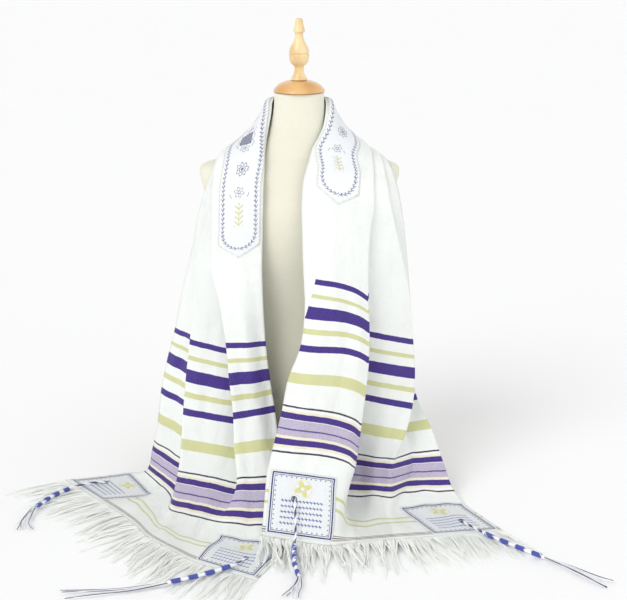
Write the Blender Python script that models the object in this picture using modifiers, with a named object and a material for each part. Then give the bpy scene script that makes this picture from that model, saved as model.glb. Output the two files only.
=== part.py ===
# Tallit prayer shawl, hung round the neck of a limbless dress form.
# Metres, +Z up, -Y to the front. The origin is the middle of the form's flat base.
import math
import random
from collections import namedtuple

import bmesh
import bpy
import numpy as np

MM = 0.001

# The shawl as it was cut, and its wall
CLOTH_WIDTH = 0.560
LEFT_HALF = 0.965
RIGHT_HALF = 0.865
WALL = 0.0012
LAYER_PITCH = 0.0028
SEAM_GAP = 0.0003
FLOOR_MID = WALL / 2

# How the sheet is divided: rows along it, and columns across each layer and fold
LAYER_STEPS = (5, 4, 5, 4, 5)
NOSE_STEPS = 3
OPEN_SPREAD = 0.006
SOFTENING_PASSES = 5

# What is sewn on
PATCH_SIZE = 0.115
PATCH_INSET = 0.006
PATCH_WALL = 0.0008
PATCH_OUT = WALL / 2 + PATCH_WALL / 2 + 0.0004
TRIM_MERGE = 0.0005
ATARAH_WIDTH = 0.075
ATARAH_POINT = 0.024
ATARAH_LEFT_TIP = 0.602
ATARAH_RIGHT_TIP = 0.575
# How far the neckband lies inside the sheet's inner edge: place along the sheet, and millimetres
ATARAH_INSETS = ((-0.363, 4), (0.130, 4), (0.170, 9), (0.215, 22), (0.290, 27))

# The fringe: locks that grow out of a narrow strip just beyond each hem
LOCKS = 40
LOCK_WIDTH = 0.0046
LOCK_DEPTH = 0.0012
LOCK_LIFT = 0.0008
LOCK_LENGTHS = (0.100, 0.138)
LOCK_SWAY = 0.025
LOCK_STAGES = ((0.45, 0.9, 0.35), (1.0, 0.4, 0.0))
# The right hem's first locks lie on the left panel's corner, not on the floor
CORNER_EDGE = -0.014
CORNER_REST = 0.0085
HEM_INSET = 0.003
LEAST_SQUARE = 0.4
STRIP_WIDTH = 0.0040
STRIP_WALL = 0.0010

# The corner tassels
STEM_RADIUS = 0.0024
WINDING_RADIUS = 0.0029
KNOT_RADIUS = 0.0043
SLIM_SHARE = 0.16
KNOT_COUNT = 5
STEM_RINGS = 20
STRAND_COUNT = 8
STRAND_RADIUS = 0.0009
STRAND_FAN = 0.015
STRAND_LIFT = 0.0016

# The form's neck fittings
NECK_TOP = 0.7205
CAP_RADIUS = 0.0448
CAP_TALL = 0.0205
TURNED_STEPS = 24

# Each line of the drape, in millimetres: distance from the hem, then x, y, z.
# The folds run down the panel; a return is the hidden turn behind its fold.
LEFT_LINES = {
    "inner_edge": [
        (0, -66, -430, 1), (60, -42, -374, 2), (121, -17, -312, 4), (152, -22, -272, 17),
        (212, -28, -214, 66), (281, -35, -166, 128), (331, -43, -140, 184), (387, -52, -132, 245),
        (444, -58, -127, 300), (520, -62, -120, 374),
    ],
    "first_fold": [
        (0, -174, -366, 3), (60, -154, -328, 10), (121, -136, -284, 12), (152, -130, -254, 20),
        (212, -112, -206, 64), (281, -114, -168, 119), (331, -115, -146, 173), (387, -119, -138, 239),
        (444, -124, -130, 298), (520, -136, -118, 375),
    ],
    "first_return": [
        (0, -200, -330, 1), (60, -174, -306, 2), (121, -160, -264, 6), (152, -146, -240, 16),
        (212, -104, -196, 48), (281, -86, -150, 98), (331, -74, -124, 150), (387, -68, -116, 213),
        (444, -68, -111, 272), (520, -70, -106, 360),
    ],
    "second_fold": [
        (0, -255, -284, 7), (60, -246, -252, 9), (121, -236, -222, 10), (152, -232, -196, 16),
        (212, -225, -152, 56), (281, -213, -120, 110), (331, -207, -103, 166), (387, -198, -92, 230),
        (444, -191, -84, 290), (520, -183, -76, 368),
    ],
    "second_return": [
        (0, -288, -208, 1), (60, -264, -186, 1), (121, -240, -150, 4), (152, -226, -124, 10),
        (212, -192, -104, 46), (281, -168, -92, 102), (331, -158, -86, 156), (387, -150, -82, 222),
        (444, -144, -82, 284), (520, -132, -86, 364),
    ],
    "outer_edge": [
        (0, -438, -26, 1), (60, -380, -10, 1), (121, -322, 0, 5), (152, -292, -12, 13),
        (212, -275, -12, 60), (281, -263, -8, 120), (331, -257, 0, 170), (387, -243, 2, 234),
        (444, -229, 2, 286), (520, -212, 0, 366),
    ],
}
RIGHT_LINES = {
    "inner_edge": [
        (0, -62, -295, 15), (60, -58, -276, 66), (121, -52, -254, 120), (152, -45, -242, 147),
        (212, -30, -222, 205), (281, -17, -202, 264), (331, 2, -186, 311), (387, 10, -169, 370),
        (444, 8, -152, 429), (520, 6, -130, 489),
    ],
    "first_fold": [
        (0, 50, -326, 10), (60, 70, -274, 50), (121, 91, -230, 88), (152, 100, -210, 104),
        (212, 107, -182, 152), (281, 112, -160, 224), (331, 117, -149, 278), (387, 118, -140, 334),
        (444, 117, -130, 388), (520, 118, -111, 464),
    ],
    "first_return": [
        (0, 88, -292, 1), (60, 84, -236, 2), (121, 74, -168, 8), (152, 66, -140, 20),
        (212, 64, -118, 78), (281, 60, -112, 148), (331, 56, -109, 208), (387, 52, -108, 268),
        (444, 48, -108, 330), (520, 40, -106, 424),
    ],
    "second_fold": [
        (0, 170, -300, 12), (60, 164, -240, 12), (121, 158, -186, 12), (152, 160, -156, 22),
        (212, 164, -128, 70), (281, 184, -114, 124), (331, 198, -92, 172), (387, 203, -74, 228),
        (444, 200, -64, 284), (520, 192, -56, 374),
    ],
    "second_return": [
        (0, 214, -270, 1), (60, 196, -213, 1), (121, 176, -154, 3), (152, 190, -112, 14),
        (212, 204, -92, 66), (281, 188, -74, 122), (331, 164, -62, 168), (387, 150, -62, 226),
        (444, 138, -66, 288), (520, 114, -88, 392),
    ],
    "outer_edge": [
        (0, 352, -248, 1), (60, 324, -192, 1), (121, 296, -137, 3), (152, 280, -106, 14),
        (212, 259, -82, 66), (281, 236, -62, 126), (331, 214, -32, 168), (387, 207, -10, 224),
        (444, 203, -4, 282), (520, 198, -6, 374),
    ],
}

# Where the pleats lie stacked: distance from the hem, the stack's inner and outer end in
# millimetres, its bulge, and each fold and return as a share of its width
Stack = namedtuple("Stack", "from_hem inner outer bulge first_fold first_return second_fold second_return")
LEFT_STACKS = [
    Stack(600, (-64, -102, 454), (-192, -10, 444), 34, 0.48, 0.06, 0.76, 0.24),
    Stack(705, (-62, -82, 562), (-170, -42, 538), 16, 0.70, 0.06, 0.86, 0.20),
    Stack(755, (-60, -53, 606), (-152, -42, 587), 8, 0.86, 0.06, 0.94, 0.16),
    Stack(795, (-57, -34, 640), (-146, -14, 605), 2, 0.83, 0.06, 0.92, 0.14),
    Stack(835, (-49, -14, 682), (-142, 12, 607), -10, 0.73, 0.06, 0.90, 0.12),
    Stack(872, (-46, 4, 706), (-136, 38, 606), -16, 0.67, 0.06, 0.88, 0.12),
    Stack(923, (-31, 32, 706), (-94, 72, 592), -8, 0.70, 0.06, 0.88, 0.12),
    Stack(965, (0, 45, 706), (0, 84, 584), -4, 0.75, 0.06, 0.89, 0.12),
]
RIGHT_STACKS = [
    Stack(823, (31, 32, 706), (94, 72, 592), -8, 0.71, 0.06, 0.88, 0.12),
    Stack(774, (46, 0, 705), (136, 38, 606), -16, 0.69, 0.06, 0.88, 0.12),
    Stack(732, (42, -34, 666), (148, 8, 607), -8, 0.74, 0.06, 0.90, 0.12),
    Stack(690, (22, -52, 627), (160, -27, 595), 2, 0.73, 0.06, 0.88, 0.14),
    Stack(658, (16, -62, 607), (168, -37, 573), 10, 0.70, 0.06, 0.86, 0.17),
    Stack(625, (10, -75, 584), (176, -42, 545), 19, 0.66, 0.06, 0.84, 0.20),
    Stack(575, (8, -98, 540), (190, -29, 453), 30, 0.62, 0.10, 0.84, 0.28),
]
STACK_LEVELS = (4.0, 3.5, 2.5, 1.5, 0.5, 0.0)
LEFT_STACKED = LEFT_STACKS[0].from_hem
RIGHT_STACKED = RIGHT_STACKS[-1].from_hem

# How the folds change down each panel: distance from the hem in millimetres, the fold's
# height, how closed it is, the roundness of the strips and of the returns per metre
FoldRow = namedtuple("FoldRow", "from_hem height closed strip_round return_round")
LEFT_FOLDS = [
    FoldRow(0, 8, 0.0, 0, 0),
    FoldRow(121, 8, 0.0, 0, 0),
    FoldRow(212, 8, 0.35, 3, 0),
    FoldRow(281, 8, 0.8, 5, 0),
    FoldRow(387, 7, 1.0, 6, 1),
    FoldRow(520, 5, 1.0, 8, 5),
]
RIGHT_FOLDS = [
    FoldRow(520, 5, 1.0, 5, 2),
    FoldRow(387, 7, 1.0, 5, 0),
    FoldRow(281, 8, 1.0, 4, 0),
    FoldRow(152, 8, 0.7, 2, 0),
    FoldRow(60, 8, 0.2, 0, 0),
    FoldRow(0, 8, 0.0, 0, 0),
]

# The rows of the sheet: distance from the hem, in millimetres
LEFT_ROWS = (
    0, 40, 80, 121, 152, 182, 212, 246, 281, 331, 387, 444, 482, 520, 560, 600, 635, 670, 705, 730, 755,
    775, 795, 815, 835, 853, 872, 897, 923, 944,
)
RIGHT_ROWS = (
    865, 844, 823, 798, 774, 753, 732, 711, 690, 674, 658, 641, 625, 600, 575, 520, 482, 444, 387,
    331, 281, 246, 212, 182, 152, 121, 80, 40, 0,
)

# The dress form: height, half width, front and back, in millimetres
TORSO_ROWS = [
    (0, 150, -88, 100),
    (60, 160, -93, 108),
    (140, 168, -98, 116),
    (210, 155, -95, 106),
    (270, 134, -87, 90),
    (330, 122, -82, 80),
    (390, 132, -88, 84),
    (440, 148, -97, 90),
    (490, 159, -101, 94),
    (540, 168, -93, 96),
    (562, 174, -82, 92),
    (580, 178, -71, 85.4),
    (591, 174, -62, 77.6),
    (597, 160, -56, 70.2),
    (602, 136, -53, 65),
    (611, 108, -50, 61),
    (624, 84, -46, 55),
    (642, 65, -43, 49),
    (664, 53, -42, 45),
    (690, 46, -41, 42),
    (720.5, 44, -41, 41),
]
TORSO_SIDES = 28
TORSO_SQUARENESS = 2.3

# The tassels: where each cord runs, in millimetres, and how its strands spread
TASSELS = {
    "tzitzit_left_back": {
        "stem": [
            (-360, -44, 5.4), (-376, -51, 7.5), (-392, -60, 9), (-420, -86, 10), (-446, -122, 10),
            (-468, -168, 9),
        ],
        "strands": [(-474, -192, 6), (-476, -222, 5), (-470, -252, 4)],
    },
    "tzitzit_left_front": {
        "stem": [
            (-86, -365, 8.6), (-92, -377, 10.2), (-99, -390, 11.5), (-124, -412, 11.5), (-162, -433, 10),
            (-206, -453, 9),
        ],
        "strands": [(-262, -468, 6), (-322, -478, 5), (-381, -486, 4)],
    },
    "tzitzit_right_front": {
        "stem": [
            (-8, -271.9, 75.4), (-6, -284, 65), (-5, -301, 44), (-5, -319, 27), (-7, -350, 16),
            (-5, -394, 10), (2, -430, 8),
        ],
        "strands": [(0, -452, 6), (-6, -474, 5), (-10, -494, 4)],
    },
    "tzitzit_right_back": {
        "stem": [
            (281, -216, 5.1), (289, -233, 8), (298, -250, 10), (320, -284, 11), (360, -324, 10),
            (404, -363, 8),
        ],
        "strands": [(440, -396, 6), (472, -428, 5), (502, -457, 4)],
    },
}

COLOURS = {
    "cloth": (0.90, 0.91, 0.89),
    "patch": (0.80, 0.83, 0.90),
    "band": (0.72, 0.74, 0.82),
    "fringe": (0.92, 0.92, 0.88),
    "cord": (0.10, 0.14, 0.50),
    "linen": (0.78, 0.74, 0.62),
    "cap_wood": (0.62, 0.34, 0.13),
    "finial_wood": (0.78, 0.52, 0.26),
}


def smooth_read(knots, values, at):
    """Values of a smooth curve through (knots, values), read at the places in at."""
    knots = np.asarray(knots, float)
    values = np.asarray(values, float)
    at = np.clip(np.asarray(at, float), knots[0], knots[-1])
    step = np.diff(knots)
    slope = np.diff(values, axis=0) / step.reshape((-1,) + (1,) * (values.ndim - 1))
    tangent = np.empty_like(values)
    tangent[0] = slope[0]
    tangent[-1] = slope[-1]
    for i in range(1, len(knots) - 1):
        before, after = step[i - 1], step[i]
        tangent[i] = (slope[i - 1] * after + slope[i] * before) / (before + after)
    place = np.clip(np.searchsorted(knots, at, side="right") - 1, 0, len(knots) - 2)
    shape = (-1,) + (1,) * (values.ndim - 1)
    width = step[place].reshape(shape)
    u = ((at - knots[place]) / step[place]).reshape(shape)
    start = (1 + 2 * u) * (1 - u) ** 2 * values[place] + u * (1 - u) ** 2 * width * tangent[place]
    end = u * u * (3 - 2 * u) * values[place + 1] + u * u * (u - 1) * width * tangent[place + 1]
    return start + end


def unit(vectors):
    return vectors / np.linalg.norm(vectors, axis=-1, keepdims=True)


def from_left_hem(distance):
    return distance * MM - LEFT_HALF


def from_right_hem(distance):
    return RIGHT_HALF - distance * MM


def stack_knots():
    places = [from_left_hem(row.from_hem) for row in LEFT_STACKS]
    return places + [from_right_hem(row.from_hem) for row in RIGHT_STACKS]


def stack_frame(place):
    """The stacked row at a place: inner end, way across, way out, bulge and fold shares."""
    table = np.array([(*row.inner, *row.outer, *row[3:]) for row in LEFT_STACKS + RIGHT_STACKS], float)
    table[:, :7] *= MM
    values = smooth_read(stack_knots(), table, [place - 0.004, place, place + 0.004])
    middles = (values[:, 0:3] + values[:, 3:6]) / 2
    inner = values[1, 0:3]
    across = values[1, 3:6] - inner
    outward = unit(np.cross(middles[2] - middles[0], across))
    return inner, across, outward, values[1, 6], [0.0, *values[1, 7:], 1.0]


def stack_point(frame, share, level):
    """A point of a stacked row: a share of the way across, and a level above its lowest layer."""
    inner, across, outward, bulge, _ = frame
    width = np.linalg.norm(across)
    slope = 4 * bulge * (1 - 2 * share) / width
    normal = unit(outward - across / width * slope)
    rise = 4 * bulge * share * (1 - share)
    return inner + across * share + outward * rise + normal * level * LAYER_PITCH


def layer_shares(shares):
    """Where each layer's columns lie: at the same shares in all layers, so that they never touch."""
    _, first_fold, first_return, second_fold, second_return, _ = shares
    nearer = second_return + (first_fold - second_return) / 3
    farther = second_return + (first_fold - second_return) * 2 / 3
    inside = [second_return, nearer, farther, first_fold]
    return [
        [0.0, first_return, *inside],
        [*reversed(inside), first_return],
        [first_return, *inside, second_fold],
        [second_fold, *reversed(inside)],
        [*inside, second_fold, 1.0],
    ]


def stack_row(place):
    """One row of the sheet where the pleats lie stacked, each layer on the next."""
    frame = stack_frame(place)
    width = np.linalg.norm(frame[1])
    row = []
    for layer, shares in enumerate(layer_shares(frame[4])):
        level = 4 - layer
        row += [stack_point(frame, share, level) for share in shares[:-1]]
        if layer == 4:
            break
        away = 1 if layer % 2 == 0 else -1
        for angle in np.linspace(0, math.pi, NOSE_STEPS + 1)[:-1]:
            share = shares[-1] + away * math.sin(angle) * LAYER_PITCH / 2 / width
            row.append(stack_point(frame, share, level - 0.5 + 0.5 * math.cos(angle)))
    row.append(stack_point(frame, 1.0, 0))
    return row


def stacked(place):
    return from_left_hem(LEFT_STACKED) <= place <= from_right_hem(RIGHT_STACKED)


def drape_lines(places):
    """The six lines of the drape, read at places along the sheet: an array (row, line, xyz)."""
    stack_places = stack_knots()
    frames = [stack_frame(place) for place in stack_places]
    lines = []
    for index, name in enumerate(LEFT_LINES):
        knots = [from_left_hem(row[0]) for row in LEFT_LINES[name]]
        points = [np.array(row[1:]) * MM for row in LEFT_LINES[name]]
        knots += stack_places
        points += [stack_point(frame, frame[4][index], STACK_LEVELS[index]) for frame in frames]
        for row in reversed(RIGHT_LINES[name]):
            knots.append(from_right_hem(row[0]))
            points.append(np.array(row[1:]) * MM)
        lines.append(smooth_read(knots, points, places))
    return np.stack(lines, axis=1)


def fold_values(places):
    """Height, closedness and roundness of the folds, read at places along the sheet."""
    stacks = LEFT_STACKS + RIGHT_STACKS
    knots = [from_left_hem(row.from_hem) for row in LEFT_FOLDS + LEFT_STACKS]
    knots += [from_right_hem(row.from_hem) for row in RIGHT_STACKS + RIGHT_FOLDS]
    rows = [row[1:] for row in LEFT_FOLDS]
    for row in stacks:
        chord = np.linalg.norm(np.subtract(row.outer, row.inner)) * MM
        roundness = 8 * row.bulge * MM / chord**2
        rows.append((LAYER_PITCH / MM, 1.0, roundness, roundness))
    rows += [row[1:] for row in RIGHT_FOLDS]
    table = np.array(rows, float)
    return [np.interp(places, knots, table[:, i]) for i in range(table.shape[1])]


def sheet_places():
    left = [from_left_hem(d) for d in LEFT_ROWS]
    right = [from_right_hem(d) for d in RIGHT_ROWS]
    return np.array(left + right)


def nose(point, outward, away, across, height, closed):
    """A fold seen in section: a round nose where it is closed, a flat run where it has opened."""
    turn = np.linspace(0, math.pi, NOSE_STEPS + 1)
    radius = height / 2
    points = []
    for angle in turn:
        round_part = (outward * math.cos(angle) + away * math.sin(angle)) * radius * closed
        flat_part = across * -math.cos(angle) * OPEN_SPREAD * (1 - closed)
        points.append(point + round_part + flat_part)
    return points


def section(keys, along, height, closed, strip_round, return_round):
    """One row of the sheet: five layers, joined by four folds."""
    general = keys[5] - keys[0]
    noses = []
    for fold in range(1, 5):
        strip = keys[1] - keys[0] if fold < 2 else keys[3] - keys[2] if fold < 4 else keys[5] - keys[4]
        across = unit(strip if np.dot(strip, general) > 0 else -strip)
        outward = unit(np.cross(along[fold], across))
        away = across if fold % 2 else -across
        noses.append(nose(keys[fold], outward, away, across, height, closed))
    starts = [keys[0]] + [points[-1] for points in noses]
    ends = [points[0] for points in noses] + [keys[5]]
    row = []
    for layer, steps in enumerate(LAYER_STEPS):
        start, end = starts[layer], ends[layer]
        across = end - start if np.dot(end - start, general) > 0 else start - end
        outward = unit(np.cross((along[layer] + along[layer + 1]) / 2, across))
        roundness = return_round if layer % 2 else strip_round
        crown = roundness * float(np.dot(across, across)) / 8
        for share in np.linspace(0, 1, steps + 1)[:-1]:
            row.append(start + (end - start) * share + outward * 4 * crown * share * (1 - share))
        if layer < 4:
            row += noses[layer][:-1]
    row.append(ends[-1])
    return row


def soften(grid, closed):
    """Rounds the opened folds, and keeps the whole sheet on the floor or above it."""
    for _ in range(SOFTENING_PASSES):
        middle = (grid[:, :-2] + grid[:, 2:]) / 2
        share = 0.6 * (1 - closed)[:, None, None]
        grid[:, 1:-1] += share * (middle - grid[:, 1:-1])
    grid[..., 2] = np.maximum(grid[..., 2], FLOOR_MID)
    return grid


def sheet_grid(places):
    """The middle of the cloth wall as a grid of points (row, column, xyz)."""
    keys = drape_lines(places)
    ahead = drape_lines(places + 0.002)
    behind = drape_lines(places - 0.002)
    along = unit(ahead - behind)
    heights, closed, strips, returns = fold_values(places)
    rows = []
    for i, place in enumerate(places):
        if stacked(place):
            rows.append(stack_row(place))
        else:
            rows.append(section(keys[i], along[i], heights[i] * MM, closed[i], strips[i], returns[i]))
    return soften(np.array(rows), closed)


def widths_across(grid):
    """Distance across the cloth of each grid point, from its inner edge."""
    runs = np.linalg.norm(np.diff(grid, axis=1), axis=2)
    from_inner = np.concatenate([np.zeros((len(grid), 1)), np.cumsum(runs, axis=1)], axis=1)
    from_outer = from_inner[:, -1:] - from_inner
    first = LAYER_STEPS[0] + LAYER_STEPS[1] + 2 * NOSE_STEPS
    last = first + LAYER_STEPS[2]
    share = np.clip((np.arange(grid.shape[1]) - first) / (last - first), 0, 1)
    return (1 - share) * from_inner + share * (CLOTH_WIDTH - from_outer)


def grid_normals(grid):
    down = np.gradient(grid, axis=0)
    across = np.gradient(grid, axis=1)
    return unit(np.cross(down, across))


class Sheet:
    """The draped sheet, read at any place along it and distance from its inner edge."""

    def __init__(self):
        self.places = sheet_places()
        self.grid = sheet_grid(self.places)
        self.widths = widths_across(self.grid)
        self.normals = grid_normals(self.grid)

    def trimmed(self, name, outline, columns, insets=((0, 0),)):
        """The sheet's facets inside a convex outline of (place, width) points, moved out."""
        lowest = np.interp(self.places, *zip(*insets)) * MM
        bm = bmesh.new()
        drape = bm.verts.layers.float_vector.new("drape")
        normal = bm.verts.layers.float_vector.new("outward")
        rows = []
        for i, place in enumerate(self.places):
            row = []
            for column in columns:
                vert = bm.verts.new((place, self.widths[i, column] - lowest[i], 0.0))
                vert[drape] = self.grid[i, column]
                vert[normal] = self.normals[i, column]
                row.append(vert)
            rows.append(row)
        add_triangles(bm, rows)
        for first, second in zip(outline, outline[1:] + outline[:1]):
            side = np.array([second[1] - first[1], first[0] - second[0], 0.0])
            everything = bm.verts[:] + bm.edges[:] + bm.faces[:]
            bmesh.ops.bisect_plane(
                bm, geom=everything, dist=TRIM_MERGE, plane_co=(*first, 0.0), plane_no=side, clear_outer=True
            )
        for vert in bm.verts:
            vert.co = vert[drape] + vert[normal].normalized() * PATCH_OUT
        bm.verts.layers.float_vector.remove(drape)
        bm.verts.layers.float_vector.remove(bm.verts.layers.float_vector["outward"])
        mesh = bpy.data.meshes.new(name)
        bm.to_mesh(mesh)
        bm.free()
        return mesh


def material(name):
    mat = bpy.data.materials.new(name)
    mat.use_nodes = True
    shader = mat.node_tree.nodes["Principled BSDF"]
    shader.inputs["Base Color"].default_value = (*COLOURS[name], 1.0)
    shader.inputs["Roughness"].default_value = 0.45 if "wood" in name else 0.85
    shader.inputs["Metallic"].default_value = 0.0
    return mat


def add_object(name, mesh, look, collection):
    obj = bpy.data.objects.new(name, mesh)
    mesh.materials.append(look)
    collection.objects.link(obj)
    return obj


def returning_columns():
    """The columns of the sheet that run back towards its inner edge."""
    columns = []
    first = 0
    for layer, steps in enumerate(LAYER_STEPS):
        if layer % 2:
            columns += range(first, first + steps)
        first += steps + NOSE_STEPS
    return columns


def add_triangles(bm, rows, turned=()):
    """Triangles between rows of vertices, cut along the other diagonal in turned columns."""
    for upper, lower in zip(rows, rows[1:]):
        for i in range(len(upper) - 1):
            if i in turned:
                bm.faces.new((upper[i], lower[i], upper[i + 1]))
                bm.faces.new((lower[i], lower[i + 1], upper[i + 1]))
            else:
                bm.faces.new((upper[i], lower[i], lower[i + 1]))
                bm.faces.new((upper[i], lower[i + 1], upper[i + 1]))


def add_wall(obj, thickness):
    solid = obj.modifiers.new("Wall", "SOLIDIFY")
    solid.thickness = thickness
    solid.offset = 0.0
    solid.use_even_offset = False
    obj.data.shade_smooth()


def make_cloth(sheet, look, collection):
    bm = bmesh.new()
    add_triangles(bm, [[bm.verts.new(point) for point in row] for row in sheet.grid], returning_columns())
    mesh = bpy.data.meshes.new("shawl_cloth")
    bm.to_mesh(mesh)
    bm.free()
    add_wall(add_object("shawl_cloth", mesh, look, collection), WALL)


def make_patch(name, sheet, left, inner, look, collection):
    """A square patch in one corner."""
    hem = -LEFT_HALF if left else RIGHT_HALF
    inward = 1 if left else -1
    first, last = sorted((hem + inward * PATCH_INSET, hem + inward * (PATCH_INSET + PATCH_SIZE)))
    lowest = PATCH_INSET if inner else CLOTH_WIDTH - PATCH_INSET - PATCH_SIZE
    highest = lowest + PATCH_SIZE
    outline = [(first, lowest), (last, lowest), (last, highest), (first, highest)]
    width = len(sheet.grid[0])
    inner_columns = range(0, LAYER_STEPS[0] + NOSE_STEPS)
    outer_columns = range(width - LAYER_STEPS[4] - NOSE_STEPS, width)
    mesh = sheet.trimmed(name, outline, inner_columns if inner else outer_columns)
    add_wall(add_object(name, mesh, look, collection), PATCH_WALL)


def make_atarah(sheet, look, collection):
    """The neckband: a strip with pointed ends."""
    first = ATARAH_LEFT_TIP - LEFT_HALF
    last = RIGHT_HALF - ATARAH_RIGHT_TIP
    outline = [
        (first, ATARAH_WIDTH / 2), (first + ATARAH_POINT, 0.0), (last - ATARAH_POINT, 0.0),
        (last, ATARAH_WIDTH / 2), (last - ATARAH_POINT, ATARAH_WIDTH),
        (first + ATARAH_POINT, ATARAH_WIDTH),
    ]
    columns = range(0, LAYER_STEPS[0] + NOSE_STEPS)
    mesh = sheet.trimmed("atarah", outline, columns, ATARAH_INSETS)
    add_wall(add_object("atarah", mesh, look, collection), PATCH_WALL)


def hem_frame(sheet, left):
    """Points along a hem with their distance along it, and the way the cloth runs out there."""
    last, before = (0, 1) if left else (-1, -2)
    edge = sheet.grid[last]
    run = unit(edge - sheet.grid[before])
    steps = np.linalg.norm(np.diff(edge, axis=0), axis=1)
    return np.concatenate([[0], np.cumsum(steps)]), edge, run


def lock_direction(share, left):
    """The way a lock points over the floor: the locks fan out along the hem."""
    first, last = ((-0.30, -0.95), (-0.88, -0.48)) if left else ((-0.05, -1.0), (0.42, -0.91))
    flat = np.array(first) * (1 - share) + np.array(last) * share
    return unit(np.array([flat[0], flat[1], 0.0]))


def make_fringe(name, sheet, left, look, collection):
    """A narrow strip beyond the hem, with a tapered lock out of every second face."""
    reach, edge, run = hem_frame(sheet, left)
    chance = random.Random(7 if left else 8)
    count = 2 * LOCKS + 1
    stations = np.linspace(HEM_INSET, reach[-1] - HEM_INSET, count + 1)
    bm = bmesh.new()
    rings = []
    for station in stations:
        place = np.array([np.interp(station, reach, edge[:, k]) for k in range(3)])
        out = unit(np.array([np.interp(station, reach, run[:, k]) for k in range(3)]) * (1, 1, 0))
        ahead = np.array([np.interp(station + 0.002, reach, edge[:, k]) for k in range(2)])
        behind = np.array([np.interp(station - 0.002, reach, edge[:, k]) for k in range(2)])
        square = abs(float(np.cross(unit(ahead - behind), out[:2])))
        near = place + out * (WALL / 2 + SEAM_GAP) / max(square, LEAST_SQUARE)
        far = near + out * STRIP_WIDTH
        low = max(place[2] - FLOOR_MID, 0.0)
        high = low + STRIP_WALL
        ring = [(near, low), (far, low), (far, high), (near, high)]
        rings.append([bm.verts.new((point[0], point[1], height)) for point, height in ring])
    outer_faces = []
    for first, second in zip(rings, rings[1:]):
        for i in range(4):
            j = (i + 1) % 4
            face = bm.faces.new((first[i], first[j], second[j], second[i]))
            if i == 1:
                outer_faces.append(face)
    bm.faces.new(list(reversed(rings[0])))
    bm.faces.new(rings[-1])
    bmesh.ops.recalc_face_normals(bm, faces=bm.faces)
    bm.faces.ensure_lookup_table()
    for index, face in enumerate(outer_faces):
        if index % 2 == 0:
            continue
        grow_lock(bm, face, index / count, left, chance)
    mesh = bpy.data.meshes.new(name)
    bm.to_mesh(mesh)
    bm.free()
    return add_object(name, mesh, look, collection)


def grow_lock(bm, face, share, left, chance):
    """Grows one lock out of a face: two lengths, each thinner, down to the floor."""
    length = chance.uniform(*LOCK_LENGTHS)
    heading = lock_direction(share, left)
    side = np.array([-heading[1], heading[0], 0.0])
    heading = unit(heading + side * chance.uniform(-LOCK_SWAY, LOCK_SWAY))
    start = np.array(face.calc_center_median())
    rise = max(start[2] - STRIP_WALL / 2, 0.0)
    rest = 0.0 if left or start[0] > CORNER_EDGE else CORNER_REST
    for reach, thickness, height in LOCK_STAGES:
        grown = bmesh.ops.extrude_discrete_faces(bm, faces=[face])
        face = grown["faces"][0]
        centre = start + heading * length * reach
        centre[2] = max(rise * height, rest) + LOCK_DEPTH / 2 + LOCK_LIFT
        by_height = sorted(face.verts, key=lambda vert: vert.co.z)
        for pair, level in ((by_height[:2], -0.5), (by_height[2:], 0.5)):
            pair = sorted(pair, key=lambda vert: float(np.dot(np.array(vert.co), side)))
            for vert, way in zip(pair, (-0.5, 0.5)):
                place = centre + side * way * LOCK_WIDTH * thickness
                place[2] += level * LOCK_DEPTH * thickness
                vert.co = place


def stem_radius(share):
    """The cord's radius: slim at the patch, then knots with windings between them."""
    if share < SLIM_SHARE:
        return STEM_RADIUS
    beat = (share - SLIM_SHARE) / (1 - SLIM_SHARE) * KNOT_COUNT
    return WINDING_RADIUS + (KNOT_RADIUS - WINDING_RADIUS) * math.cos(math.pi * beat) ** 2


def make_tassel(name, route, look, collection):
    """A wound cord that ends in a head, with eight free strands fused to the head."""
    points = np.array(route["stem"], float) * MM
    knots = np.concatenate([[0], np.cumsum(np.linalg.norm(np.diff(points, axis=0), axis=1))])
    centres = smooth_read(knots, points, np.linspace(0, knots[-1], STEM_RINGS))
    ways = unit(np.gradient(centres, axis=0))
    bm = bmesh.new()
    rings = []
    for i in range(STEM_RINGS):
        side = unit(np.cross(ways[i], (0, 0, 1)))
        up = np.cross(side, ways[i])
        radius = stem_radius(i / (STEM_RINGS - 1))
        ring = []
        for k in range(STRAND_COUNT):
            angle = 2 * math.pi * (k + 0.25) / STRAND_COUNT
            ring.append(bm.verts.new(centres[i] + (side * math.cos(angle) + up * math.sin(angle)) * radius))
        rings.append(ring)
    for first, second in zip(rings, rings[1:]):
        for i in range(STRAND_COUNT):
            j = (i + 1) % STRAND_COUNT
            bm.faces.new((first[i], first[j], second[j], second[i]))
    bm.faces.new(list(reversed(rings[0])))
    tip = bm.verts.new(centres[-1] + ways[-1] * 0.001)
    sectors = []
    for i in range(STRAND_COUNT):
        sectors.append(bm.faces.new((rings[-1][i], rings[-1][(i + 1) % STRAND_COUNT], tip)))
    bmesh.ops.recalc_face_normals(bm, faces=bm.faces)
    grow_strands(bm, sectors, centres[-1], ways[-1], np.array(route["strands"], float) * MM)
    bm.normal_update()
    mesh = bpy.data.meshes.new(name)
    bm.to_mesh(mesh)
    bm.free()
    mesh.shade_smooth()
    return add_object(name, mesh, look, collection)


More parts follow.
